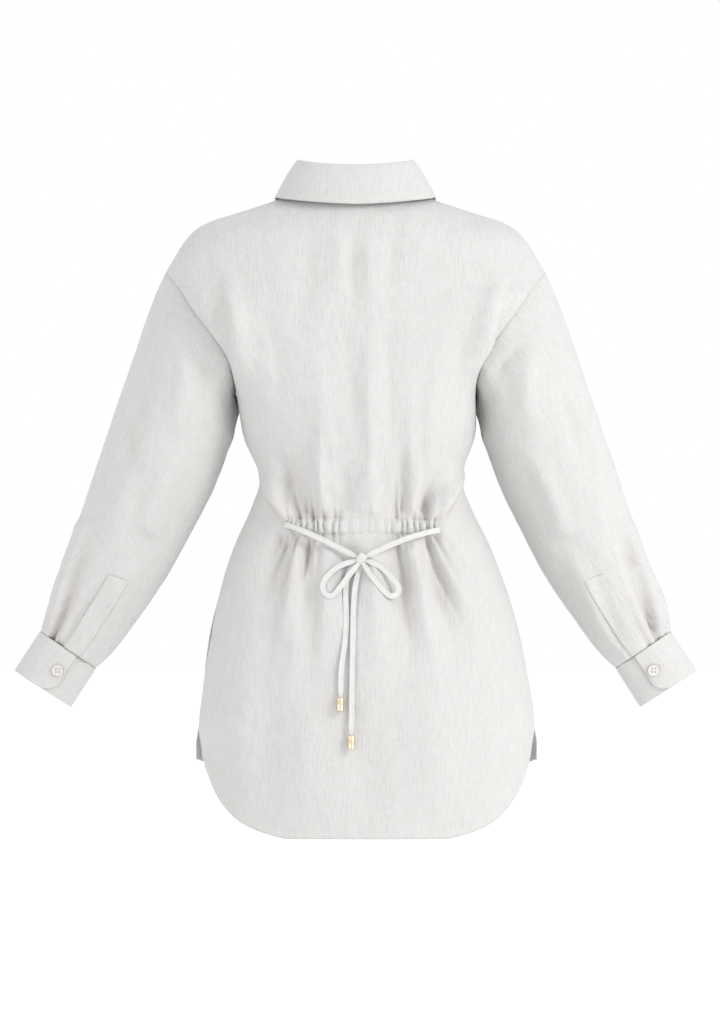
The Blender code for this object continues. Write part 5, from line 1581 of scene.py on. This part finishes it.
def build_front_placket_looks(rows):
    """The band down the right front's edge, which the buttons sit on."""
    rows = np.clip(rows, *FRONT_PLACKET_ROWS)
    across = np.linspace(-FRONT_LAP, FRONT_LAP, PLACKET_COLUMNS + 1)[None, :]
    theta = np.arcsin(across / half_width(FRONT, rows))
    points = panel(FRONT, theta, rows)
    kept = np.concatenate([[True], np.linalg.norm(np.diff(points[:, 0], axis=0), axis=-1) > ROW_LEAST])
    if kept.sum() % 2 == 0:
        kept[np.flatnonzero(kept)[1]] = False
    points, rows, theta = points[kept], rows[kept], theta[kept]
    normals = unit(normals_of(points))
    normals = normals * -np.sign(normals[..., 1:2])
    heights = relief(FRONT_FOLDS, points[..., 0], points[..., 2]) * fold_fade(theta, rows)
    u, v = arcs(points)
    lift = heights + SEEN_LAY + FRONT_PLACKET_OUT + crumple(u, v, SEED["placket"]) * CRUMPLE_LEFT["placket"]
    edge = np.minimum(u - u[:, :1], u[:, -1:] - u)
    lift = lift - groove(edge, PLACKET_STITCH_IN, PLACKET_GROOVE_WIDTH)
    return dress_raised("front_placket", points, normals, lift, SEEN_STIFF, (u, v), LINEN_PRESSED)


def circle(radius, height, turns):
    return [(radius * math.cos(t), radius * math.sin(t), height) for t in turns]


def lathe(profile, steps):
    """Vertices and faces of a profile of (radius, height) turned round Z, closed at both ends."""
    turns = np.arange(steps) * 2 * math.pi / steps
    vertices = [vertex for radius, height in profile for vertex in circle(radius, height, turns)]
    return vertices, tube_faces(len(profile), steps) + caps(len(profile), steps)


def placed_mesh(name, vertices, faces, centre, direction):
    """A mesh whose own Z points along a direction at a place."""
    turn = Vector(direction).to_track_quat("Z", "Y")
    points = [tuple(turn @ Vector(vertex) + Vector(centre)) for vertex in vertices]
    mesh = bpy.data.meshes.new(name)
    mesh.from_pydata(points, [], faces)
    mesh.shade_smooth()
    return mesh


def button_top(radius):
    """Vertices and faces of a button: a dished disc with a rounded rim and four holes."""
    steps, rings = BUTTON_STEPS, BUTTON_RINGS
    shares = np.linspace(1, BUTTON_MIDDLE, rings)[:, None]
    turns = np.arange(steps) * 2 * math.pi / steps
    x, y = radius * shares * np.cos(turns), radius * shares * np.sin(turns)
    height = BUTTON_THICK / 2 * at_least(bell(shares - RIM_AT, RIM_WIDTH), DISH) * np.ones_like(x)
    height -= BUTTON_THICK / 2 * ease((shares - RIM_EDGE) / (1 - RIM_EDGE))
    for side_x in (-1, 1):
        for side_y in (-1, 1):
            off = np.hypot(x - side_x * HOLE_OUT * radius, y - side_y * HOLE_OUT * radius)
            height -= HOLE_DEPTH * (1 - ease((off / (HOLE * radius) - HOLE_FLAT) / HOLE_SLOPE))
    vertices = np.stack([x, y, height], axis=-1).reshape(-1, 3).tolist()
    for share, level in BUTTON_UNDER:
        vertices += circle(radius * share, BUTTON_THICK * level, turns)
    under = rings * steps
    faces = [*tube_faces(rings, steps), caps(rings, steps)[1], *between(under, 0, steps)]
    for level in range(1, len(BUTTON_UNDER)):
        faces += between(under + level * steps, under + (level - 1) * steps, steps)
    last = under + (len(BUTTON_UNDER) - 1) * steps
    faces.append(tuple(reversed(range(last, last + steps))))
    return vertices, faces


def thread_cross(radius):
    """Four short bars of thread, two side by side over each pair of a button's holes."""
    vertices, faces = [], []
    rise = BUTTON_THICK * BAR_RISE
    reach = HOLE_OUT * radius * BAR_REACH
    half, flat, end = BAR_HALF, reach * BAR_FLAT, rise - BAR_SINK
    for side in (-1, 1):
        for strand in (-1, 1):
            x = side * HOLE_OUT * radius + strand * half * BAR_APART
            first = len(vertices)
            for y, z in ((-reach, end), (-flat, rise), (flat, rise), (reach, end)):
                vertices += [(x - half, y, z - half), (x, y, z + half), (x + half, y, z - half)]
            faces += [tuple(first + corner for corner in face) for face in tube_faces(4, 3) + caps(4, 3)]
    return vertices, faces


def build_button(node, radius):
    """A four-hole button and its thread in place of a node, facing the way that its solid faces."""
    low, high = (Vector(corner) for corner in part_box(node))
    centre, up = (low + high) / 2, facing(node)
    vertices, faces = button_top(radius)
    piece = add_piece(node + "_face", placed_mesh(node + "_face", vertices, faces, centre, up), PEARL_LOOK)
    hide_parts(node)
    vertices, faces = thread_cross(radius)
    add_piece(node + "_thread", placed_mesh(node + "_thread", vertices, faces, centre, up), THREAD_LOOK)


def facing(node):
    """The way that a flat round node faces: towards its smaller end."""
    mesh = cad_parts[node].data
    points = np.array([vertex.co for vertex in mesh.vertices])
    points = points - points.mean(axis=0)
    _, _, axes = np.linalg.svd(points)
    along = points @ axes[2]
    reach = np.linalg.norm(points - along[:, None] * axes[2], axis=1)
    smaller = 1 if reach[along > 0].mean() < reach[along < 0].mean() else -1
    return Vector(axes[2] * smaller)


def squared_off(values, power):
    """Values from -1 to 1, pushed out towards their ends."""
    return np.sign(values) * np.abs(values) ** power


def strap_mesh(name, path, material):
    """A flat self-fabric strap along a path: rounded edges, narrower in the knot and at its tip."""
    along = unit(np.gradient(path, axis=0))
    flat = unit(np.cross(along, (0, 1.0, 0)))
    out = unit(np.cross(flat, along))
    far = np.concatenate([[0], np.cumsum(np.linalg.norm(np.diff(path, axis=0), axis=-1))])
    from_knot = np.linalg.norm((path - np.array(KNOT)) * (1, 0.5, 1), axis=-1)
    width = STRAP_WIDTH * at_least(ease((from_knot - NARROW_KNOT[0]) / NARROW_KNOT[1]), STRAP_NARROW)
    width = width * at_least(ease((far[-1] - far - NARROW_TIP[0]) / NARROW_TIP[1]), STRAP_NARROW)
    wrinkle = noise(far, far * 0, WRINKLE_SIZE, SEED["strap"]) * WRINKLE
    turns = np.linspace(0, 2 * math.pi, STRAP_SIDES, endpoint=False)
    side = squared_off(np.cos(turns), STRAP_SQUARE[0])
    rise = squared_off(np.sin(turns), STRAP_SQUARE[1])
    rise = rise * (1 - STRAP_GROOVE * bell(np.abs(side) - STRAP_SEWN, STRAP_DENT))
    points = (
        path[:, None]
        + flat[:, None] * (side[None, :] * width[:, None] / 2)[..., None]
        + out[:, None] * (rise[None, :] * (SEEN_STRAP / 2) + wrinkle[:, None])[..., None]
    )
    faces = [(a, d, c, b) for a, b, c, d in tube_faces(len(path), STRAP_SIDES)]
    faces += [end[::-1] for end in caps(len(path), STRAP_SIDES)]
    around = np.minimum(np.arange(STRAP_SIDES), STRAP_SIDES - np.arange(STRAP_SIDES)) / STRAP_SIDES
    texture = np.stack(np.broadcast_arrays(around[None, :] * 2 * STRAP_WIDTH, far[:, None]), axis=-1)
    return add_piece(name, plain_cloth_mesh(name, points, faces, texture), material)


def plain_cloth_mesh(name, points, faces, texture):
    """A piece of cloth with no painted crease shade, with a place on the cloth for each point."""
    points, texture = points.reshape(-1, 3), texture.reshape(-1, 2)
    return cloth_mesh(name, points, faces, texture[np.concatenate(faces)], np.zeros(len(points)))


def build_knot_look():
    """The knot: a band of the strap pulled tight round the others, with folds across it."""
    turns = np.linspace(0, 2 * math.pi, KNOT_STEPS, endpoint=False)[None, :]
    lean = np.linspace(-math.pi / 2, math.pi / 2, KNOT_RINGS)[:, None]
    cos = np.cos(lean) ** KNOT_SQUARE
    x = squared_off(np.cos(turns), KNOT_SQUARE) * cos
    y = squared_off(np.sin(turns), KNOT_SQUARE) * cos
    z = squared_off(np.sin(lean), KNOT_SQUARE) * np.ones_like(x)
    folds = 1 + sum(height * np.sin(wide * x + high * z + at) * cos for height, wide, high, at in KNOT_FOLDS)
    waist = 1 - KNOT_WAIST * (1 - np.abs(z))
    points = np.stack([x * folds * waist, y * folds, z], axis=-1) * KNOT_HALF * KNOT_SEEN
    cos, sin = math.cos(KNOT_LEAN), math.sin(KNOT_LEAN)
    points = points @ np.array(((cos, 0, sin), (0, 1, 0), (-sin, 0, cos))) + np.array(KNOT)
    faces = tube_faces(KNOT_RINGS, KNOT_STEPS) + caps(KNOT_RINGS, KNOT_STEPS)
    texture = np.stack([points[..., 0] - points[..., 1], points[..., 2]], axis=-1)
    piece = add_piece("knot_cloth", plain_cloth_mesh("knot_cloth", points, faces, texture), LINEN_STRAP)
    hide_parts("knot")
    return piece


def build_tip_look(node, path):
    """A turned metal tip with a raised ring at each end."""
    way = unit(path[-1] - path[-TIP_FROM])
    profile = [(radius * TIP_RADIUS, (height - 0.5) * TIP_LENGTH) for radius, height in TIP_PROFILE]
    vertices, faces = lathe(profile, TIP_STEPS)
    centre = path[-1] + way * (SEAM + TIP_LENGTH / 2)
    piece = add_piece(node + "_metal", placed_mesh(node + "_metal", vertices, faces, centre, way), TIP_LOOK)
    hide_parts(node)
    return piece


def build_drawstring():
    """Each half of the drawstring: out of the casing, through the knot, round its loop and down its tail."""
    knot = build_knot_look()
    halves = (
        ("left", MOUTH_LEFT, STRING_LEFT, THROUGH_LEFT, LOOP_LEFT, BACK_LEFT, TAIL_LEFT),
        ("right", MOUTH_RIGHT, STRING_RIGHT, THROUGH_RIGHT, LOOP_RIGHT, BACK_RIGHT, TAIL_RIGHT),
    )
    for name, mouth, string, through, loop, back, tail in halves:
        path = smooth_route([*mouth, *string[1:], *through, *loop, *back, *tail], STRAP_STEP)
        strap = strap_mesh(f"drawstring_{name}", path, LINEN_STRAP)
        tip = build_tip_look(f"tip_{name}", path)
        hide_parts(f"string_{name}", f"loop_{name}", f"tail_{name}")


def new_material(name):
    material = bpy.data.materials.new(name)
    material.use_nodes = True
    tree = material.node_tree
    return material, tree, tree.nodes["Principled BSDF"]


def scaled(tree, source, scale):
    """Coordinates stretched by a scale for each axis."""
    mapping = tree.nodes.new("ShaderNodeMapping")
    mapping.inputs["Scale"].default_value = scale
    tree.links.new(source, mapping.inputs["Vector"])
    return mapping.outputs["Vector"]


def noise_node(tree, source, scale, detail=2.0, distortion=0.0):
    node = tree.nodes.new("ShaderNodeTexNoise")
    node.inputs["Scale"].default_value = 1.0
    node.inputs["Detail"].default_value = detail
    node.inputs["Distortion"].default_value = distortion
    tree.links.new(scaled(tree, source, scale), node.inputs["Vector"])
    return node.outputs["Fac"]


def math_node(tree, kind, first, second):
    node = tree.nodes.new("ShaderNodeMath")
    node.operation = kind
    for socket, value in zip(node.inputs, (first, second)):
        if isinstance(value, (int, float)):
            socket.default_value = value
        else:
            tree.links.new(value, socket)
    return node.outputs[0]


def mix_colour(tree, factor, first, second):
    node = tree.nodes.new("ShaderNodeMix")
    node.data_type = "RGBA"
    tree.links.new(factor, node.inputs["Factor"])
    for socket, value in ((node.inputs["A"], first), (node.inputs["B"], second)):
        if isinstance(value, tuple):
            socket.default_value = (*value, 1)
        else:
            tree.links.new(value, socket)
    return node.outputs["Result"]


def ramp(tree, source, low, high):
    """0 to 1 as a value goes from low to high."""
    node = tree.nodes.new("ShaderNodeMapRange")
    node.inputs["From Min"].default_value = low
    node.inputs["From Max"].default_value = high
    tree.links.new(source, node.inputs["Value"])
    return node.outputs["Result"]


def bump(tree, height, distance, strength, under=None):
    node = tree.nodes.new("ShaderNodeBump")
    node.inputs["Distance"].default_value = distance
    node.inputs["Strength"].default_value = strength
    tree.links.new(height, node.inputs["Height"])
    if under is not None:
        tree.links.new(under, node.inputs["Normal"])
    return node.outputs["Normal"]


def dial(shader, values):
    """Set a shader's plain values by their names."""
    for name, value in values.items():
        shader.inputs[name].default_value = value


def threads(tree, place, scale):
    """Noise drawn out down the cloth, and the same across it."""
    wide, long = scale
    return noise_node(tree, place, (wide, long, 1)), noise_node(tree, place, (long, wide, 1))


def times(tree, source, value):
    return math_node(tree, "MULTIPLY", source, value)


def toned(tone, share):
    return tuple(value * share for value in tone)


def linen_look(name, tone, creasing):
    """Off-white linen: slubbed threads both ways, a soft mottle, fine creases, and painted warm shade in the
    hollows.
    """
    material, tree, shader = new_material(name)
    cloth = tree.nodes.new("ShaderNodeUVMap")
    cloth.uv_map = "cloth"
    place = cloth.outputs["UV"]
    weave = math_node(tree, "ADD", *threads(tree, place, WEAVE_SCALE))
    slubs_down, slubs_across = (ramp(tree, found, *SLUB_RAMP) for found in threads(tree, place, SLUB_SCALE))
    slubs = math_node(tree, "ADD", slubs_down, times(tree, slubs_across, SLUBS_ACROSS))
    light, dark = toned(tone, THREAD_LIGHT), toned(tone, THREAD_DARK)
    colour = mix_colour(tree, ramp(tree, weave, *WEAVE_RAMP), dark, light)
    colour = mix_colour(tree, times(tree, slubs, SLUB_SHOW), colour, toned(tone, SLUB_DARK))
    mottle = ramp(tree, noise_node(tree, place, MOTTLE_SCALE, 3.0), *MOTTLE_RAMP)
    colour = mix_colour(tree, times(tree, mottle, MOTTLE_SHOW), colour, light)
    # Painted shade: the creases' share darkens the colour towards a warm brown
    shade_share = tree.nodes.new("ShaderNodeAttribute")
    shade_share.attribute_name = "shade_share"
    colour = mix_colour(tree, times(tree, shade_share.outputs["Fac"], CREASE_SHADE_SHOW), colour, CREASE_SHADE_COLOUR)
    tree.links.new(colour, shader.inputs["Base Color"])
    dial(shader, LINEN_SHINE)
    crease = noise_node(tree, place, CREASE_SCALE, 3.0, 0.2)
    sharp = math_node(tree, "ABSOLUTE", math_node(tree, "SUBTRACT", crease, 0.5), 0.0)
    bent = bump(tree, sharp, CREASE_DEEP, -creasing)
    dents = noise_node(tree, place, DENT_SCALE, 2.0, 0.2)
    bent = bump(tree, dents, DENT_DEEP, creasing * DENT_SHARE, bent)
    bent = bump(tree, slubs, SLUB_DEEP, THREAD_SHARE, bent)
    bent = bump(tree, weave, WEAVE_DEEP, THREAD_SHARE, bent)
    tree.links.new(bent, shader.inputs["Normal"])
    return material


def mottled_look(name, scale, detail, distortion, colours, shine):
    """A material whose colour wanders between two by a noise, with its tree, its shader and the noise."""
    material, tree, shader = new_material(name)
    place = tree.nodes.new("ShaderNodeTexCoord").outputs["Object"]
    figure = noise_node(tree, place, scale, detail, distortion)
    tree.links.new(mix_colour(tree, figure, *colours), shader.inputs["Base Color"])
    dial(shader, shine)
    return material, tree, shader, figure


def thread_look():
    """Off-white sewing thread with a twist."""
    return mottled_look("thread", (2500, 2500, 2500), 1.0, 0.0, THREAD_COLOURS, THREAD_SHINE)[0]


def pearl_look():
    """Off-white button resin with a faint cloudy figure."""
    return mottled_look("button", (160, 160, 420), 3.0, 1.2, PEARL_COLOURS, PEARL_SHINE)[0]


def tip_look():
    """Pale gold plated metal, with fine brushed marks round it."""
    found = mottled_look("tip", (120, 120, 2600), 2.0, 0.0, TIP_COLOURS, {"Metallic": 1.0})
    material, tree, shader, marks = found
    rough = math_node(tree, "ADD", times(tree, marks, TIP_ROUGH[1]), TIP_ROUGH[0])
    tree.links.new(rough, shader.inputs["Roughness"])
    tree.links.new(bump(tree, marks, TIP_MARK_DEEP, TIP_MARK_SHARE), shader.inputs["Normal"])
    return material


def build_camera():
    """Level with the middle of the photo's frame, behind the shirt."""
    data = bpy.data.cameras.new("camera")
    data.lens = data.sensor_width * CAMERA_AWAY / FRAME_HEIGHT
    camera = bpy.data.objects.new("camera", data)
    camera.location = (FRAME_X, CAMERA_AWAY, FRAME_Z)
    camera.rotation_euler = (math.pi / 2, 0, math.pi)
    bpy.context.scene.collection.objects.link(camera)
    bpy.context.scene.camera = camera


def add_light(name, place, aim, size, power):
    """A soft square lamp at a place, turned towards a point."""
    data = bpy.data.lights.new(name, "AREA")
    data.shape = "SQUARE"
    data.size = size
    data.energy = power
    lamp = bpy.data.objects.new(name, data)
    lamp.location = place
    lamp.rotation_euler = (Vector(aim) - Vector(place)).to_track_quat("-Z", "Y").to_euler()
    bpy.context.scene.collection.objects.link(lamp)


def build_stage():
    """A plain white room with a pale floor at a standing wearer's feet, and soft lamps."""
    world = bpy.data.worlds.new("room")
    world.use_nodes = True
    dial(world.node_tree.nodes["Background"], {"Color": (1, 1, 1, 1), "Strength": ROOM_LIGHT})
    bpy.context.scene.world = world
    mesh = bpy.data.meshes.new("floor")
    corners = [(x * FLOOR_HALF, y * FLOOR_HALF, FLOOR_Z) for x, y in ((-1, -1), (1, -1), (1, 1), (-1, 1))]
    mesh.from_pydata(corners, [], [(0, 1, 2, 3)])
    mesh.materials.append(mottled_look("floor", (3, 3, 3), 2.0, 0.0, FLOOR_COLOURS, FLOOR_SHINE)[0])
    floor = bpy.data.objects.new("floor", mesh)
    bpy.context.scene.collection.objects.link(floor)
    for lamp in LAMPS:
        add_light(*lamp)
    bpy.context.scene.view_settings.view_transform = "Standard"


def along_line(surface, rows, columns):
    """A line over a surface and the ways out of it, from row and column numbers that may be parts."""
    points, directions, _ = surface
    rows, columns = np.broadcast_arrays(np.asarray(rows, float), np.asarray(columns, float))
    return from_grid(points, rows, columns), unit(from_grid(directions, rows, columns))


def beside(surface, edge, inset, first=0.0, last=1.0):
    """A line a set distance in from an edge of a surface, over part of that edge."""
    _, _, (u, v) = surface
    level, near = edge in ("top", "bottom"), edge in ("top", "first")
    far = v.T if level else u
    picked = np.arange(int(first * (len(far) - 1)), int(last * (len(far) - 1)) + 1)
    far = far[picked] - far[picked, :1] if near else far[picked, -1:] - far[picked]
    order = 1 if near else -1
    spots = np.arange(far.shape[1])[::order]
    found = [np.interp(inset, line[::order], spots) for line in far]
    return along_line(surface, found, picked) if level else along_line(surface, picked, found)


def build_sewing(surfaces):
    """Rows of stitching along the hems, slits, bands, cuffs, casing and collar."""
    slit = 1 - HEM_STEPS / (len(surfaces["back"][0]) - 1)
    hem, band, cuff, fall = HEM_STITCH_IN, PLACKET_STITCH_IN, CUFF_STITCH_IN, COLLAR_STITCH_IN
    casing = CASING_STITCH * (CASING_TOP - CASING_BOTTOM)
    lines = {
        "back": (("bottom", hem), ("first", hem, slit), ("last", hem, slit)),
        "front_left": (("bottom", hem), ("first", hem, slit)),
        "front_right": (("bottom", hem), ("first", hem, slit)),
        "placket": (("first", band), ("last", band)),
        "stand": (("bottom", band), ("top", band)),
        "fall": (("bottom", fall), ("first", fall, FALL_SEWN_FROM), ("last", fall, FALL_SEWN_FROM)),
        "casing": (("top", casing, *CASING_SEWN), ("bottom", casing, *CASING_SEWN)),
    }
    for _, name in SIDES:
        lines[f"cuff_{name}"] = (("top", cuff), ("bottom", cuff), ("last", cuff, 0.0, CUFF_SEWN_TO))
        lines[f"placket_{name}"] = (("first", band), ("last", band), ("top", band), ("top", BOX_DOWN))
    for name, found in lines.items():
        stitches(f"{name}_stitching", [beside(surfaces[name], *line) for line in found], THREAD_LOOK)


def work_buttonhole(name, points, out):
    """A worked buttonhole: close stitches on both sides of a slit that runs along points."""
    across = unit(np.cross(np.gradient(points, axis=0), out))
    lines = []
    for side in (-1, 1):
        for point, beyond, up in zip(points + out * HOLE_RISE, across * side, out):
            ends = np.stack([point + beyond * HOLE_SLIT, point + beyond * HOLE_WIDE])
            lines.append((ends, np.stack([up, up])))
    stitches(name, lines, THREAD_LOOK, HOLE_WIDE - HOLE_SLIT - HOLE_GAP, HOLE_GAP / 2, HOLE_THREAD)


def build_buttonholes(placket):
    """The upright buttonholes of the front, and one round each cuff from under its button."""
    grid, _, (_, v) = placket
    middle = grid.shape[1] // 2
    down, heights = v[:, middle], grid[:, middle, 2]
    for number in range(FRONT_BUTTONS):
        low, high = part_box(f"front_button_{number + 1}")
        at = np.interp(-(low[2] + high[2]) / 2, -heights, down)
        rows = np.interp(at + np.arange(-HOLE_HALF, HOLE_HALF, HOLE_STEP), down, np.arange(len(down)))
        work_buttonhole(f"front_buttonhole_{number + 1}", *along_line(placket, rows, middle))
    for side, name in SIDES:
        along = np.arange(CUFF_HOLE_FROM, CUFF_HOLE_TO, HOLE_STEP) / CUFF_HALF_GIRTH
        points, out = cuff_point(side, 2 + CUFF_LAP_EDGE - CUFF_BUTTON_IN - along, CUFF_BUTTON_DOWN)
        work_buttonhole(f"cuff_buttonhole_{name}", points + out * SEEN_STIFF / 2, out)


def main():
    rows = fine_rows()
    looks = {
        "back": back_looks(rows),
        "front_left": front_looks(LEFT, rows),
        "front_right": front_looks(RIGHT, rows),
        LEFT: sleeve_looks(LEFT),
        RIGHT: sleeve_looks(RIGHT),
    }
    seams = {side: armhole_seam(side, looks) for side in (LEFT, RIGHT)}
    neck = neck_seam(looks)
    surfaces = build_body_looks(looks, seams, neck)
    build_sleeve_looks(looks, seams)
    surfaces["stand"] = build_stand_looks(neck)
    surfaces["fall"] = build_fall_looks()
    surfaces["casing"] = build_casing_looks()
    surfaces["placket"] = build_front_placket_looks(rows)
    for side, name in SIDES:
        surfaces[f"cuff_{name}"] = build_cuff_looks(side, f"cuff_{name}")
        surfaces[f"placket_{name}"] = build_sleeve_placket_looks(side, f"sleeve_placket_{name}")
    build_sewing(surfaces)
    build_buttonholes(surfaces["placket"])
    for number in range(FRONT_BUTTONS):
        build_button(f"front_button_{number + 1}", FRONT_BUTTON)
    build_button("collar_button", FRONT_BUTTON)
    for _, name in SIDES:
        build_button(f"cuff_button_{name}", CUFF_BUTTON)


build_camera()
LINEN_LOOSE = linen_look("linen", TONE, 0.5)
LINEN_PRESSED = linen_look("pressed_linen", TONE_PRESSED, 0.25)
LINEN_STRAP = linen_look("strap_linen", TONE_STRAP, 0.10)
THREAD_LOOK = thread_look()
PEARL_LOOK = pearl_look()
TIP_LOOK = tip_look()
build_drawstring()
main()
build_stage()
